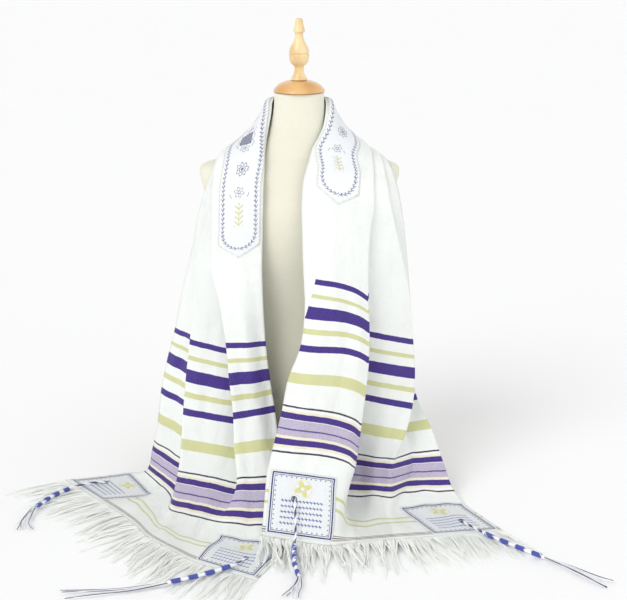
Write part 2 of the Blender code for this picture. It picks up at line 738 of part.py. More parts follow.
def grow_strands(bm, sectors, head, way, route):
    """Grows a three-sided strand out of each sector of the head, and fans them flat."""
    for index, face in enumerate(sectors):
        bmesh.ops.inset_individual(bm, faces=[face], thickness=0.0004)
        middle = np.array(face.calc_center_median())
        offsets = [np.array(vert.co) - middle for vert in face.verts]
        spread = np.mean([np.linalg.norm(offset) for offset in offsets])
        angle = 2 * math.pi * (index + 0.75) / STRAND_COUNT
        before = head
        for step, point in enumerate(route):
            face = bmesh.ops.extrude_discrete_faces(bm, faces=[face])["faces"][0]
            side = unit(np.cross(unit(point - before), (0, 0, 1)))
            reach = (step + 1) / len(route)
            across = STRAND_FAN * (0.3 + 0.7 * reach) * math.cos(angle)
            lift = STRAND_LIFT * math.sin(angle)
            centre = point + side * across + np.array([0, 0, lift])
            scale = STRAND_RADIUS / spread * (1 - 0.3 * reach)
            for vert, offset in zip(face.verts, offsets):
                vert.co = centre + offset * scale
            before = point


def torso_ring(level):
    """One level of the form: a squared oval whose front and back differ."""
    height, half_width, front, back = [value * MM for value in level]
    middle = (front + back) / 2
    depth = (back - front) / 2
    power = 2 / TORSO_SQUARENESS
    ring = []
    for k in range(TORSO_SIDES):
        angle = 2 * math.pi * k / TORSO_SIDES
        cos, sin = math.cos(angle), math.sin(angle)
        x = half_width * math.copysign(abs(cos) ** power, cos)
        y = middle + depth * math.copysign(abs(sin) ** power, sin)
        ring.append((x, y, height))
    return ring


def make_torso(look, collection):
    """The limbless form: a loft of ovals from a flat base to the neck."""
    bm = bmesh.new()
    rings = [[bm.verts.new(point) for point in torso_ring(level)] for level in TORSO_ROWS]
    for lower, upper in zip(rings, rings[1:]):
        for i in range(TORSO_SIDES):
            j = (i + 1) % TORSO_SIDES
            bm.faces.new((lower[i], lower[j], upper[j], upper[i]))
    bm.faces.new(list(reversed(rings[0])))
    bm.faces.new(rings[-1])
    mesh = bpy.data.meshes.new("dress_form_torso")
    bm.to_mesh(mesh)
    bm.free()
    mesh.shade_smooth()
    mesh.set_sharp_from_angle(angle=math.radians(50))
    return add_object("dress_form_torso", mesh, look, collection)


def make_turned(name, profile, look, collection):
    """A turned piece: a profile of (radius, height), run from its top down its outer side."""
    mesh = bpy.data.meshes.new(name)
    points = [(radius * MM, 0.0, height * MM) for radius, height in profile]
    mesh.from_pydata(points, [(i, i + 1) for i in range(len(points) - 1)], [])
    turned = add_object(name, mesh, look, collection)
    screw = turned.modifiers.new("Turned", "SCREW")
    screw.angle = 2 * math.pi
    screw.steps = TURNED_STEPS
    screw.render_steps = TURNED_STEPS
    screw.use_merge_vertices = True
    screw.merge_threshold = 0.00001
    screw.use_smooth_shade = True
    return turned


def cap_profile():
    base = (NECK_TOP + SEAM_GAP) / MM
    radius = CAP_RADIUS / MM
    top = base + CAP_TALL / MM
    return [
        (0, top), (16, top - 0.5), (24, top - 1.9), (32, top - 5), (38, top - 9), (43, base + 6),
        (radius, base + 3.2), (radius, base + 1), (radius - 1.3, base), (0, base),
    ]


def finial_profile():
    base = (NECK_TOP + CAP_TALL + 2 * SEAM_GAP) / MM
    return [
        (0, base + 106), (4.6, base + 105.4), (6.2, base + 103), (7.0, base + 98), (9.0, base + 90),
        (10.2, base + 85), (9.8, base + 82.5), (8.0, base + 81.5), (7.8, base + 73), (9.5, base + 67),
        (14.5, base + 58), (17.2, base + 50), (17.6, base + 46.6), (16.6, base + 45.4), (17.4, base + 44.2),
        (17.2, base + 38), (15.6, base + 31), (11.5, base + 26), (9.4, base + 24), (9.2, base + 13),
        (11.0, base + 8), (14.2, base + 2.5), (14.4, base + 0.8), (13.8, base), (0, base),
    ]


def main():
    for obj in list(bpy.data.objects):
        bpy.data.objects.remove(obj, do_unlink=True)
    collection = bpy.data.collections.new("tallit_prayer_shawl")
    bpy.context.scene.collection.children.link(collection)
    looks = {name: material(name) for name in COLOURS}

    make_torso(looks["linen"], collection)
    make_turned("neck_cap", cap_profile(), looks["cap_wood"], collection)
    make_turned("neck_finial", finial_profile(), looks["finial_wood"], collection)

    sheet = Sheet()
    make_cloth(sheet, looks["cloth"], collection)
    make_atarah(sheet, looks["band"], collection)
    for side in ("left", "right"):
        left = side == "left"
        make_patch(f"corner_patch_{side}_front", sheet, left, True, looks["patch"], collection)
        make_patch(f"corner_patch_{side}_back", sheet, left, False, looks["patch"], collection)
        make_fringe(f"fringe_{side}", sheet, left, looks["fringe"], collection)
    for name, route in TASSELS.items():
        make_tassel(name, route, looks["cord"], collection)


main()
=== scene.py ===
# Looks of a tallit prayer shawl that hangs round the neck of a limbless dress form.
# Metres, +Z up, -Y to the front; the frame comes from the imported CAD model.
import math
import random
from collections import namedtuple

import bmesh
import bpy
import numpy as np
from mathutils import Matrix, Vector


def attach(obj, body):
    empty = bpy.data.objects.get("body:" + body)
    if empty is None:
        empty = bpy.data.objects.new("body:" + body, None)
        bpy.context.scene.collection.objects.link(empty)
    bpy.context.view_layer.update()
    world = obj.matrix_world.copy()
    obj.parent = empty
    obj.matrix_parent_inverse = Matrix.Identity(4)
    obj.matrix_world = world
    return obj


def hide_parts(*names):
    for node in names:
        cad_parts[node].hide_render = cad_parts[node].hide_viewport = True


MM = 0.001
BODY = "root"

# The shawl as it was cut
CLOTH_WIDTH = 0.560
CLOTH_LENGTH = 1.830
LEFT_HALF = 0.965
RIGHT_HALF = 0.865
WALL = 0.0009
LAYER_PITCH = 0.0028
FLOOR_MID = 0.0006

# How finely the sheet is divided
ROW_STEP = 0.0066
LAYER_STEPS = (26, 15, 26, 15, 28)
NOSE_STEPS = 5
OPEN_SPREAD = 0.006
SOFTENING_PASSES = 110

# What is sewn on
PATCH_SIZE = 0.115
PATCH_INSET = 0.006
PATCH_WALL = 0.0007
PATCH_STEPS = 36
PATCH_OUT = 0.0013
ATARAH_WIDTH = 0.075
ATARAH_POINT = 0.024
ATARAH_LEFT_TIP = 0.597
ATARAH_RIGHT_TIP = 0.588
# How far the neckband lies inside the sheet's inner edge: place along the sheet, and millimetres
ATARAH_INSETS = ((-0.363, 4), (0.130, 4), (0.170, 9), (0.215, 22), (0.290, 27))
ATARAH_ROWS = 220
ATARAH_COLUMNS = 24

# The camera and the photograph's frame
FOCAL_PX = 1405
FRAME_WIDTH_PX = 627
SENSOR_MM = 36
CAMERA_PLACE = (0.025, -2.459, 1.039)
CAMERA_TILT_DEG = 15.8

# Each line of the drape, in millimetres: distance from the hem, then x, y, z.
# The folds run down the panel; a return is the hidden turn behind its fold.
LEFT_LINES = {
    "inner_edge": [
        (0, -66, -430, 1), (60, -42, -374, 2), (121, -17, -312, 4), (152, -22, -272, 17),
        (212, -28, -214, 66), (281, -35, -166, 128), (331, -43, -140, 184), (387, -52, -132, 245),
        (444, -58, -127, 300), (520, -62, -120, 374),
    ],
    "first_fold": [
        (0, -174, -366, 3), (60, -154, -328, 10), (121, -136, -284, 12), (152, -130, -254, 20),
        (212, -112, -206, 64), (281, -114, -168, 119), (331, -115, -146, 173), (387, -119, -138, 239),
        (444, -124, -130, 298), (520, -136, -118, 375),
    ],
    "first_return": [
        (0, -200, -330, 1), (60, -174, -306, 2), (121, -160, -264, 6), (152, -146, -240, 16),
        (212, -104, -196, 48), (281, -86, -150, 98), (331, -74, -124, 150), (387, -68, -116, 213),
        (444, -68, -111, 272), (520, -70, -106, 360),
    ],
    "second_fold": [
        (0, -255, -284, 7), (60, -246, -252, 9), (121, -236, -222, 10), (152, -232, -196, 16),
        (212, -225, -152, 56), (281, -213, -120, 110), (331, -207, -103, 166), (387, -198, -92, 230),
        (444, -191, -84, 290), (520, -183, -76, 368),
    ],
    "second_return": [
        (0, -288, -208, 1), (60, -264, -186, 1), (121, -240, -150, 4), (152, -226, -124, 10),
        (212, -192, -104, 46), (281, -168, -92, 102), (331, -158, -86, 156), (387, -150, -82, 222),
        (444, -144, -82, 284), (520, -132, -86, 364),
    ],
    "outer_edge": [
        (0, -438, -26, 1), (60, -380, -10, 1), (121, -322, 0, 5), (152, -292, -12, 13),
        (212, -275, -12, 60), (281, -263, -8, 120), (331, -257, 0, 170), (387, -243, 2, 234),
        (444, -229, 2, 286), (520, -212, 0, 366),
    ],
}
RIGHT_LINES = {
    "inner_edge": [
        (0, -62, -295, 15), (60, -58, -276, 66), (121, -52, -254, 120), (152, -45, -242, 147),
        (212, -30, -222, 205), (281, -17, -202, 264), (331, 2, -186, 311), (387, 10, -169, 370),
        (444, 8, -152, 429), (520, 6, -130, 489),
    ],
    "first_fold": [
        (0, 50, -326, 10), (60, 70, -274, 50), (121, 91, -230, 88), (152, 100, -210, 104),
        (212, 107, -182, 152), (281, 112, -160, 224), (331, 117, -149, 278), (387, 118, -140, 334),
        (444, 117, -130, 388), (520, 118, -111, 464),
    ],
    "first_return": [
        (0, 88, -292, 1), (60, 84, -236, 2), (121, 74, -168, 8), (152, 66, -140, 20),
        (212, 64, -118, 78), (281, 60, -112, 148), (331, 56, -109, 208), (387, 52, -108, 268),
        (444, 48, -108, 330), (520, 40, -106, 424),
    ],
    "second_fold": [
        (0, 170, -300, 12), (60, 164, -240, 12), (121, 158, -186, 12), (152, 160, -156, 22),
        (212, 164, -128, 70), (281, 184, -114, 124), (331, 198, -92, 172), (387, 203, -74, 228),
        (444, 200, -64, 284), (520, 192, -56, 374),
    ],
    "second_return": [
        (0, 214, -270, 1), (60, 196, -213, 1), (121, 176, -154, 3), (152, 190, -112, 14),
        (212, 204, -92, 66), (281, 188, -74, 122), (331, 164, -62, 168), (387, 150, -62, 226),
        (444, 138, -66, 288), (520, 114, -88, 392),
    ],
    "outer_edge": [
        (0, 352, -248, 1), (60, 324, -192, 1), (121, 296, -137, 3), (152, 280, -106, 14),
        (212, 259, -82, 66), (281, 236, -62, 126), (331, 214, -32, 168), (387, 207, -10, 224),
        (444, 203, -4, 282), (520, 198, -6, 374),
    ],
}

# Where the pleats lie stacked: distance from the hem, the stack's inner and outer end in
# millimetres, its bulge, and each fold and return as a share of its width
Stack = namedtuple("Stack", "from_hem inner outer bulge first_fold first_return second_fold second_return")
LEFT_STACKS = [
    Stack(520, (-64, -110, 374), (-212, 0, 366), 34, 0.46, 0.06, 0.76, 0.34),
    Stack(600, (-64, -102, 454), (-192, -10, 444), 34, 0.48, 0.06, 0.76, 0.24),
    Stack(705, (-62, -82, 562), (-170, -42, 538), 16, 0.70, 0.06, 0.86, 0.20),
    Stack(755, (-60, -53, 606), (-152, -42, 587), 8, 0.86, 0.06, 0.94, 0.16),
    Stack(795, (-57, -34, 640), (-146, -14, 605), 2, 0.83, 0.06, 0.92, 0.14),
    Stack(835, (-49, -14, 682), (-142, 12, 607), -10, 0.73, 0.06, 0.90, 0.12),
    Stack(872, (-46, 4, 706), (-136, 38, 606), -16, 0.67, 0.06, 0.88, 0.12),
    Stack(923, (-31, 32, 706), (-94, 72, 592), -8, 0.70, 0.06, 0.88, 0.12),
    Stack(965, (0, 45, 706), (0, 84, 584), -4, 0.75, 0.06, 0.89, 0.12),
]
RIGHT_STACKS = [
    Stack(823, (31, 32, 706), (94, 72, 592), -8, 0.71, 0.06, 0.88, 0.12),
    Stack(774, (46, 0, 705), (136, 38, 606), -16, 0.69, 0.06, 0.88, 0.12),
    Stack(732, (42, -34, 666), (148, 8, 607), -8, 0.74, 0.06, 0.90, 0.12),
    Stack(690, (22, -52, 627), (160, -27, 595), 2, 0.73, 0.06, 0.88, 0.14),
    Stack(658, (16, -62, 607), (168, -37, 573), 10, 0.70, 0.06, 0.86, 0.17),
    Stack(625, (10, -75, 584), (176, -42, 545), 19, 0.66, 0.06, 0.84, 0.20),
    Stack(575, (8, -98, 540), (190, -29, 453), 30, 0.62, 0.10, 0.84, 0.28),
    Stack(520, (8, -118, 488), (198, -8, 378), 34, 0.60, 0.16, 0.86, 0.40),
]
STACK_LEVELS = (4.0, 3.5, 2.5, 1.5, 0.5, 0.0)
# Round the neck the inner edge turns in over the folds below it: where, in metres up, and how wide
TURN_LOW = 0.560
TURN_HIGH = 0.630
TURN_SHARE = 0.046
TURN_CROWDING = 1.5
LINES_FROM_STACKS = 590
LEFT_BLEND = (520, 600)
RIGHT_BLEND = (560, 650)

# How the folds change down each panel: distance from the hem in millimetres, the fold's
# height, how closed it is, the roundness of the strips and of the returns per metre
FoldRow = namedtuple("FoldRow", "from_hem height closed strip_round return_round")
LEFT_FOLDS = [
    FoldRow(0, 8, 0.0, 0, 0),
    FoldRow(121, 8, 0.0, 0, 0),
    FoldRow(212, 8, 0.35, 3, 0),
    FoldRow(281, 8, 0.8, 5, 0),
    FoldRow(387, 7, 1.0, 6, 1),
    FoldRow(520, 5, 1.0, 8, 5),
]
RIGHT_FOLDS = [
    FoldRow(520, 5, 1.0, 5, 2),
    FoldRow(387, 7, 1.0, 5, 0),
    FoldRow(281, 8, 1.0, 4, 0),
    FoldRow(152, 8, 0.7, 2, 0),
    FoldRow(60, 8, 0.2, 0, 0),
    FoldRow(0, 8, 0.0, 0, 0),
]

# Creases pressed or hanging in the cloth: the panel and its layer, where each starts and ends
# (distance from the hem in millimetres, share across the layer), its height and its half width
Crease = namedtuple("Crease", "side layer from_hem_a share_a from_hem_b share_b height half_width")
CREASES = [
    Crease("left", 0, 150, 0.30, 560, 0.55, 2.6, 11),
    Crease("left", 0, 170, 0.72, 470, 0.80, -2.2, 9),
    Crease("left", 0, 240, 0.10, 640, 0.22, -1.6, 8),
    Crease("left", 0, 20, 0.20, 210, 0.45, 2.6, 14),
    Crease("left", 0, 60, 0.75, 230, 0.55, -2.4, 12),
    Crease("left", 2, 60, 0.20, 330, 0.50, 3.4, 14),
    Crease("left", 2, 200, 0.75, 520, 0.70, -3.0, 12),
    Crease("left", 2, 110, 0.60, 420, 0.88, 2.6, 10),
    Crease("left", 2, 5, 0.45, 180, 0.30, -3.0, 16),
    Crease("left", 2, 10, 0.80, 160, 0.95, 2.6, 14),
    Crease("left", 4, 130, 0.30, 470, 0.45, 3.6, 15),
    Crease("left", 4, 180, 0.62, 560, 0.72, -3.4, 13),
    Crease("left", 4, 90, 0.85, 360, 0.90, 2.6, 12),
    Crease("left", 4, 10, 0.18, 200, 0.24, 4.0, 18),
    Crease("left", 4, 15, 0.48, 190, 0.42, -3.0, 18),
    Crease("left", 4, 140, 0.70, 230, 0.55, 3.0, 14),
    Crease("right", 0, 60, 0.28, 420, 0.22, 2.4, 11),
    Crease("right", 0, 40, 0.62, 500, 0.66, -2.6, 11),
    Crease("right", 0, 150, 0.86, 460, 0.84, 2.2, 9),
    Crease("right", 0, 330, 0.45, 640, 0.40, 2.0, 10),
    Crease("right", 2, 60, 0.70, 330, 0.74, 3.4, 12),
    Crease("right", 2, 140, 0.88, 480, 0.90, -2.6, 9),
    Crease("right", 2, 20, 0.40, 260, 0.45, -3.0, 14),
    Crease("right", 4, 60, 0.35, 300, 0.42, 3.2, 14),
    Crease("right", 4, 110, 0.70, 420, 0.66, -3.0, 13),
    Crease("right", 4, 10, 0.55, 150, 0.72, 3.0, 16),
]
# The share of its length and of its layer over which a crease fades
CREASE_FADE = 0.22
CREASE_EDGE = 0.06

# The dress form: height, half width, front and back, in millimetres
TORSO_ROWS = [
    (0, 150, -88, 100),
    (60, 160, -93, 108),
    (140, 168, -98, 116),
    (210, 155, -95, 106),
    (270, 134, -87, 90),
    (330, 122, -82, 80),
    (390, 132, -88, 84),
    (440, 148, -97, 90),
    (490, 159, -101, 94),
    (540, 168, -93, 96),
    (562, 174, -82, 92),
    (580, 178, -71, 85.4),
    (591, 174, -62, 77.6),
    (597, 160, -56, 70.2),
    (602, 136, -53, 65),
    (611, 108, -50, 61),
    (624, 84, -46, 55),
    (642, 65, -43, 49),
    (664, 53, -42, 45),
    (690, 46, -41, 42),
    (720.5, 44, -41, 41),
]
TORSO_SIDES = 112
TORSO_LEVELS = 150
TORSO_SQUARENESS = 2.3
TORSO_EASE = 0.0008
TORSO_SEAM_DEPTH = 0.0011
TORSO_SEAM_WIDTH = 0.0020
# How far the lower edge curls in, and over what height, in millimetres
TORSO_CURL = 4.0
TORSO_CURL_HEIGHT = 8
TORSO_SHARP_DEG = 50

# The wooden cap and finial
NECK_TOP = 0.7205
SEAM_GAP = 0.0003
CAP_RADIUS = 0.0448
CAP_TALL = 0.0205
TURNED_SIDES = 96
TURNED_SHARP_DEG = 42

# The corner tassels: where each cord runs, in millimetres, the share of it before the
# windings, and where its strands lie
TASSELS = {
    "left_back": {
        "slim": 0.42,
        "stem": [
            (-360, -44, 5.4), (-376, -51, 7.5), (-392, -60, 9), (-420, -86, 10), (-446, -122, 10),
            (-468, -168, 9),
        ],
        "strands": [(-474, -192, 6), (-476, -222, 5), (-470, -252, 4)],
    },
    "left_front": {
        "slim": 0.25,
        "stem": [
            (-86, -365, 8.6), (-92, -377, 10.2), (-99, -390, 11.5), (-124, -412, 11.5), (-162, -433, 10),
            (-206, -453, 9),
        ],
        "strands": [(-262, -468, 6), (-322, -478, 5), (-381, -486, 4)],
    },
    "right_front": {
        "slim": 0.48,
        "stem": [
            (-8, -271.9, 75.4), (-6, -284, 65), (-5, -301, 44), (-5, -319, 27), (-7, -350, 16),
            (-5, -394, 10), (2, -430, 8),
        ],
        "strands": [(0, -452, 6), (-6, -474, 5), (-10, -494, 4)],
    },
    "right_back": {
        "slim": 0.34,
        "stem": [
            (281, -216, 5.1), (289, -233, 8), (298, -250, 10), (320, -284, 11), (360, -324, 10),
            (404, -363, 8),
        ],
        "strands": [(440, -396, 6), (472, -428, 5), (502, -457, 4)],
    },
}


def smooth_read(knots, values, at):
    """Values of a smooth curve through (knots, values), read at the places in at."""
    knots = np.asarray(knots, float)
    values = np.asarray(values, float)
    at = np.clip(np.asarray(at, float), knots[0], knots[-1])
    step = np.diff(knots)
    slope = np.diff(values, axis=0) / step.reshape((-1,) + (1,) * (values.ndim - 1))
    tangent = np.empty_like(values)
    tangent[0] = slope[0]
    tangent[-1] = slope[-1]
    for i in range(1, len(knots) - 1):
        before, after = step[i - 1], step[i]
        tangent[i] = (slope[i - 1] * after + slope[i] * before) / (before + after)
    place = np.clip(np.searchsorted(knots, at, side="right") - 1, 0, len(knots) - 2)
    shape = (-1,) + (1,) * (values.ndim - 1)
    width = step[place].reshape(shape)
    u = ((at - knots[place]) / step[place]).reshape(shape)
    start = (1 + 2 * u) * (1 - u) ** 2 * values[place] + u * (1 - u) ** 2 * width * tangent[place]
    end = u * u * (3 - 2 * u) * values[place + 1] + u * u * (u - 1) * width * tangent[place + 1]
    return start + end


def unit(vectors):
    return vectors / np.linalg.norm(vectors, axis=-1, keepdims=True)


def smooth_step(value):
    value = np.clip(value, 0.0, 1.0)
    return value * value * (3 - 2 * value)


def path_marks(points):
    """Distance of each point along the path through them."""
    steps = np.linalg.norm(np.diff(points, axis=0), axis=1)
    return np.concatenate([[0], np.cumsum(steps)])


def from_left_hem(distance):
    return distance * MM - LEFT_HALF


def from_right_hem(distance):
    return RIGHT_HALF - distance * MM


def stack_knots():
    places = [from_left_hem(row.from_hem) for row in LEFT_STACKS]
    return places + [from_right_hem(row.from_hem) for row in RIGHT_STACKS]


def stack_frame(place):
    """The stacked row at a place: inner end, way across, way out, bulge and fold shares."""
    table = np.array([(*row.inner, *row.outer, *row[3:]) for row in LEFT_STACKS + RIGHT_STACKS], float)
    table[:, :7] *= MM
    values = smooth_read(stack_knots(), table, [place - 0.004, place, place + 0.004])
    middles = (values[:, 0:3] + values[:, 3:6]) / 2
    inner = values[1, 0:3]
    across = values[1, 3:6] - inner
    outward = unit(np.cross(middles[2] - middles[0], across))
    return inner, across, outward, values[1, 6], [0.0, *values[1, 7:], 1.0]


def stack_points(frame, shares, levels):
    """Points of a stacked row: shares of the way across, and levels above its lowest layer."""
    inner, across, outward, bulge, _ = frame
    width = np.linalg.norm(across)
    shares = np.asarray(shares)[:, None]
    levels = np.asarray(levels)[:, None]
    slope = 4 * bulge * (1 - 2 * shares) / width
    normal = unit(outward - across / width * slope)
    rise = 4 * bulge * shares * (1 - shares)
    return inner + across * shares + outward * rise + normal * levels * LAYER_PITCH


def stack_row(place):
    """One row of the sheet where the pleats lie stacked, each layer on the next."""
    frame = stack_frame(place)
    width = np.linalg.norm(frame[1])
    ends = frame[4]
    shares = []
    levels = []
    turned = float(smooth_step((frame[0][2] - TURN_LOW) / (TURN_HIGH - TURN_LOW)))
    for layer, steps in enumerate(LAYER_STEPS):
        level = 4 - layer
        run = np.linspace(0, 1, steps + 1)[:-1]
        if layer == 0:
            run = run * (1 - turned) + run**TURN_CROWDING * turned
        run = ends[layer] + (ends[layer + 1] - ends[layer]) * run
        shares += list(run)
        if layer == 0:
            levels += list(level * (1 - turned * (1 - smooth_step(0.5 + run / TURN_SHARE / 2)) * 2))
        else:
            levels += [level] * steps
        if layer == 4:
            break
        away = 1 if layer % 2 == 0 else -1
        for angle in np.linspace(0, math.pi, NOSE_STEPS + 1)[:-1]:
            shares.append(ends[layer + 1] + away * math.sin(angle) * LAYER_PITCH / 2 / width)
            levels.append(level - 0.5 + 0.5 * math.cos(angle))
    return stack_points(frame, shares + [1.0], levels + [0.0])


def drape_lines(places):
    """The six lines of the drape, read at places along the sheet: an array (row, line, xyz)."""
    left = [row for row in LEFT_STACKS if row.from_hem > LINES_FROM_STACKS]
    right = [row for row in RIGHT_STACKS if row.from_hem > LINES_FROM_STACKS]
    stack_places = [from_left_hem(row.from_hem) for row in left]
    stack_places += [from_right_hem(row.from_hem) for row in right]
    frames = [stack_frame(place) for place in stack_places]
    lines = []
    for index, name in enumerate(LEFT_LINES):
        knots = [from_left_hem(row[0]) for row in LEFT_LINES[name]]
        points = [np.array(row[1:]) * MM for row in LEFT_LINES[name]]
        knots += stack_places
        for frame in frames:
            points.append(stack_points(frame, [frame[4][index]], [STACK_LEVELS[index]])[0])
        for row in reversed(RIGHT_LINES[name]):
            knots.append(from_right_hem(row[0]))
            points.append(np.array(row[1:]) * MM)
        lines.append(smooth_read(knots, points, places))
    return np.stack(lines, axis=1)


def fold_values(places):
    """Height, closedness and roundness of the folds, read at places along the sheet."""
    left = [row for row in LEFT_STACKS if row.from_hem > LINES_FROM_STACKS]
    right = [row for row in RIGHT_STACKS if row.from_hem > LINES_FROM_STACKS]
    knots = [from_left_hem(row.from_hem) for row in LEFT_FOLDS + left]
    knots += [from_right_hem(row.from_hem) for row in right + RIGHT_FOLDS]
    rows = [row[1:] for row in LEFT_FOLDS]
    for row in left + right:
        chord = np.linalg.norm(np.subtract(row.outer, row.inner)) * MM
        roundness = 8 * row.bulge * MM / chord**2
        rows.append((LAYER_PITCH / MM, 1.0, roundness, roundness))
    rows += [row[1:] for row in RIGHT_FOLDS]
    table = np.array(rows, float)
    return [np.interp(places, knots, table[:, i]) for i in range(table.shape[1])]


def nose(point, outward, away, across, height, closed):
    """A fold seen in section: a round nose where it is closed, a flat run where it has opened."""
    turn = np.linspace(0, math.pi, NOSE_STEPS + 1)[:, None]
    round_part = (outward * np.cos(turn) + away * np.sin(turn)) * height / 2 * closed
    flat_part = across * -np.cos(turn) * OPEN_SPREAD * (1 - closed)
    return point + round_part + flat_part


def hanging_row(keys, along, height, closed, strip_round, return_round):
    """One row of the sheet where the panel hangs free: five layers, joined by four folds."""
    general = keys[5] - keys[0]
    noses = []
    for fold in range(1, 5):
        strip = keys[1] - keys[0] if fold < 2 else keys[3] - keys[2] if fold < 4 else keys[5] - keys[4]
        across = unit(strip if np.dot(strip, general) > 0 else -strip)
        outward = unit(np.cross(along[fold], across))
        away = across if fold % 2 else -across
        noses.append(nose(keys[fold], outward, away, across, height, closed))
    starts = [keys[0]] + [points[-1] for points in noses]
    ends = [points[0] for points in noses] + [keys[5]]
    row = []
    for layer, steps in enumerate(LAYER_STEPS):
        start, end = starts[layer], ends[layer]
        across = end - start if np.dot(end - start, general) > 0 else start - end
        outward = unit(np.cross((along[layer] + along[layer + 1]) / 2, across))
        roundness = return_round if layer % 2 else strip_round
        crown = roundness * float(np.dot(across, across)) / 8
        share = np.linspace(0, 1, steps + 1)[:-1, None]
        row.append(start + (end - start) * share + outward * 4 * crown * share * (1 - share))
        if layer < 4:
            row.append(noses[layer][:-1])
    row.append(ends[-1][None, :])
    return np.concatenate(row)


def stacked_share(place):
    """How far a row belongs to the stacked part of the sheet, from 0 to 1."""
    left = np.interp((place + LEFT_HALF) / MM, LEFT_BLEND, (0, 1))
    right = np.interp((RIGHT_HALF - place) / MM, RIGHT_BLEND, (0, 1))
    return float(smooth_step(min(left, right)))


def layer_columns(layer):
    """First and last column of a layer."""
    first = sum(LAYER_STEPS[:layer]) + NOSE_STEPS * layer
    return first, first + LAYER_STEPS[layer]


def grid_normals(grid):
    down = np.gradient(grid, axis=0)
    across = np.gradient(grid, axis=1)
    return unit(np.cross(down, across))


def soften(grid, closed):
    """Rounds the opened folds, and keeps the whole sheet on the floor or above it."""
    share = 0.5 * (1 - closed)[:, None, None]
    for _ in range(SOFTENING_PASSES):
        middle = (grid[:, :-2] + grid[:, 2:]) / 2
        grid[:, 1:-1] += share * (middle - grid[:, 1:-1])
    grid[..., 2] = np.maximum(grid[..., 2], FLOOR_MID)
    return grid


def widths_across(grid):
    """Distance across the cloth of each grid point, from its inner edge."""
    runs = np.linalg.norm(np.diff(grid, axis=1), axis=2)
    from_inner = np.concatenate([np.zeros((len(grid), 1)), np.cumsum(runs, axis=1)], axis=1)
    from_outer = from_inner[:, -1:] - from_inner
    first, last = layer_columns(2)
    share = np.clip((np.arange(grid.shape[1]) - first) / (last - first), 0, 1)
    return (1 - share) * from_inner + share * (CLOTH_WIDTH - from_outer)


def press_creases(grid, places):
    """Moves the sheet out and in along its creases, which fade at both ends."""
    normals = grid_normals(grid)
    moves = np.zeros(grid.shape[:2])
    for crease in CREASES:
        hem_place = from_left_hem if crease.side == "left" else from_right_hem
        start, end = hem_place(crease.from_hem_a), hem_place(crease.from_hem_b)
        first, last = layer_columns(crease.layer)
        along = (places - start) / (end - start)
        inside = smooth_step(along / CREASE_FADE) * smooth_step((1 - along) / CREASE_FADE)
        centre = crease.share_a + (crease.share_b - crease.share_a) * np.clip(along, 0, 1)
        layer = grid[:, first : last + 1]
        width = np.linalg.norm(layer[:, -1] - layer[:, 0], axis=1)
        share = np.linspace(0, 1, last - first + 1)
        away = (share[None, :] - centre[:, None]) * width[:, None] / (crease.half_width * MM)
        edge = smooth_step(share / CREASE_EDGE) * smooth_step((1 - share) / CREASE_EDGE)
        moves[:, first : last + 1] += inside[:, None] * np.exp(-(away**2)) * crease.height * MM * edge
    grid += normals * moves[..., None]
    grid[..., 2] = np.maximum(grid[..., 2], FLOOR_MID)
    return grid


class Sheet:
    """The draped sheet: its grid of middle points, and what is read from it."""

    def __init__(self):
        count = int(round(CLOTH_LENGTH / ROW_STEP))
        self.places = np.linspace(-LEFT_HALF, RIGHT_HALF, count + 1)
        keys = drape_lines(self.places)
        along = unit(drape_lines(self.places + 0.002) - drape_lines(self.places - 0.002))
        heights, closed, strips, returns = fold_values(self.places)
        rows = []
        for i, place in enumerate(self.places):
            share = stacked_share(place)
            row = 0.0
            if share < 1:
                hanging = hanging_row(keys[i], along[i], heights[i] * MM, closed[i], strips[i], returns[i])
                row = hanging * (1 - share)
            if share > 0:
                row = row + stack_row(place) * share
            rows.append(row)
        grid = soften(np.array(rows), closed)
        self.widths = widths_across(grid)
        self.grid = press_creases(grid, self.places)
        self.normals = grid_normals(self.grid)

    def read(self, place, widths, out, layer):
        """Points moved out from one layer, at a place along the sheet and widths across it."""
        first, last = layer_columns(layer)
        first = max(first - NOSE_STEPS, 0)
        last = min(last + NOSE_STEPS, self.grid.shape[1] - 1)
        row = int(np.clip(np.searchsorted(self.places, place) - 1, 0, len(self.places) - 2))
        share = (place - self.places[row]) / (self.places[row + 1] - self.places[row])
        total = 0.0
        for i, weight in ((row, 1 - share), (row + 1, share)):
            known = self.widths[i, first : last + 1]
            for table, reach in ((self.grid, 1.0), (self.normals, out)):
                read = [np.interp(widths, known, table[i, first : last + 1, k]) for k in range(3)]
                total = total + np.stack(read, axis=1) * weight * reach
        return total


def mesh_from_grid(name, grid, u_values, v_values):
    """An open surface through a grid of points, with its two coordinates as a UV map."""
    rows, columns = grid.shape[:2]
    index = np.arange(rows * columns).reshape(rows, columns)
    corners = [index[:-1, :-1], index[1:, :-1], index[1:, 1:], index[:-1, 1:]]
    faces = np.stack(corners, axis=2).reshape(-1, 4)
    mesh = bpy.data.meshes.new(name)
    mesh.from_pydata(grid.reshape(-1, 3).tolist(), [], faces.tolist())
    flat = np.stack([u_values.reshape(-1), v_values.reshape(-1)], axis=1)
    layer = mesh.uv_layers.new(name="cut")
    layer.data.foreach_set("uv", flat[faces.reshape(-1)].reshape(-1))
    mesh.shade_smooth()
    return mesh


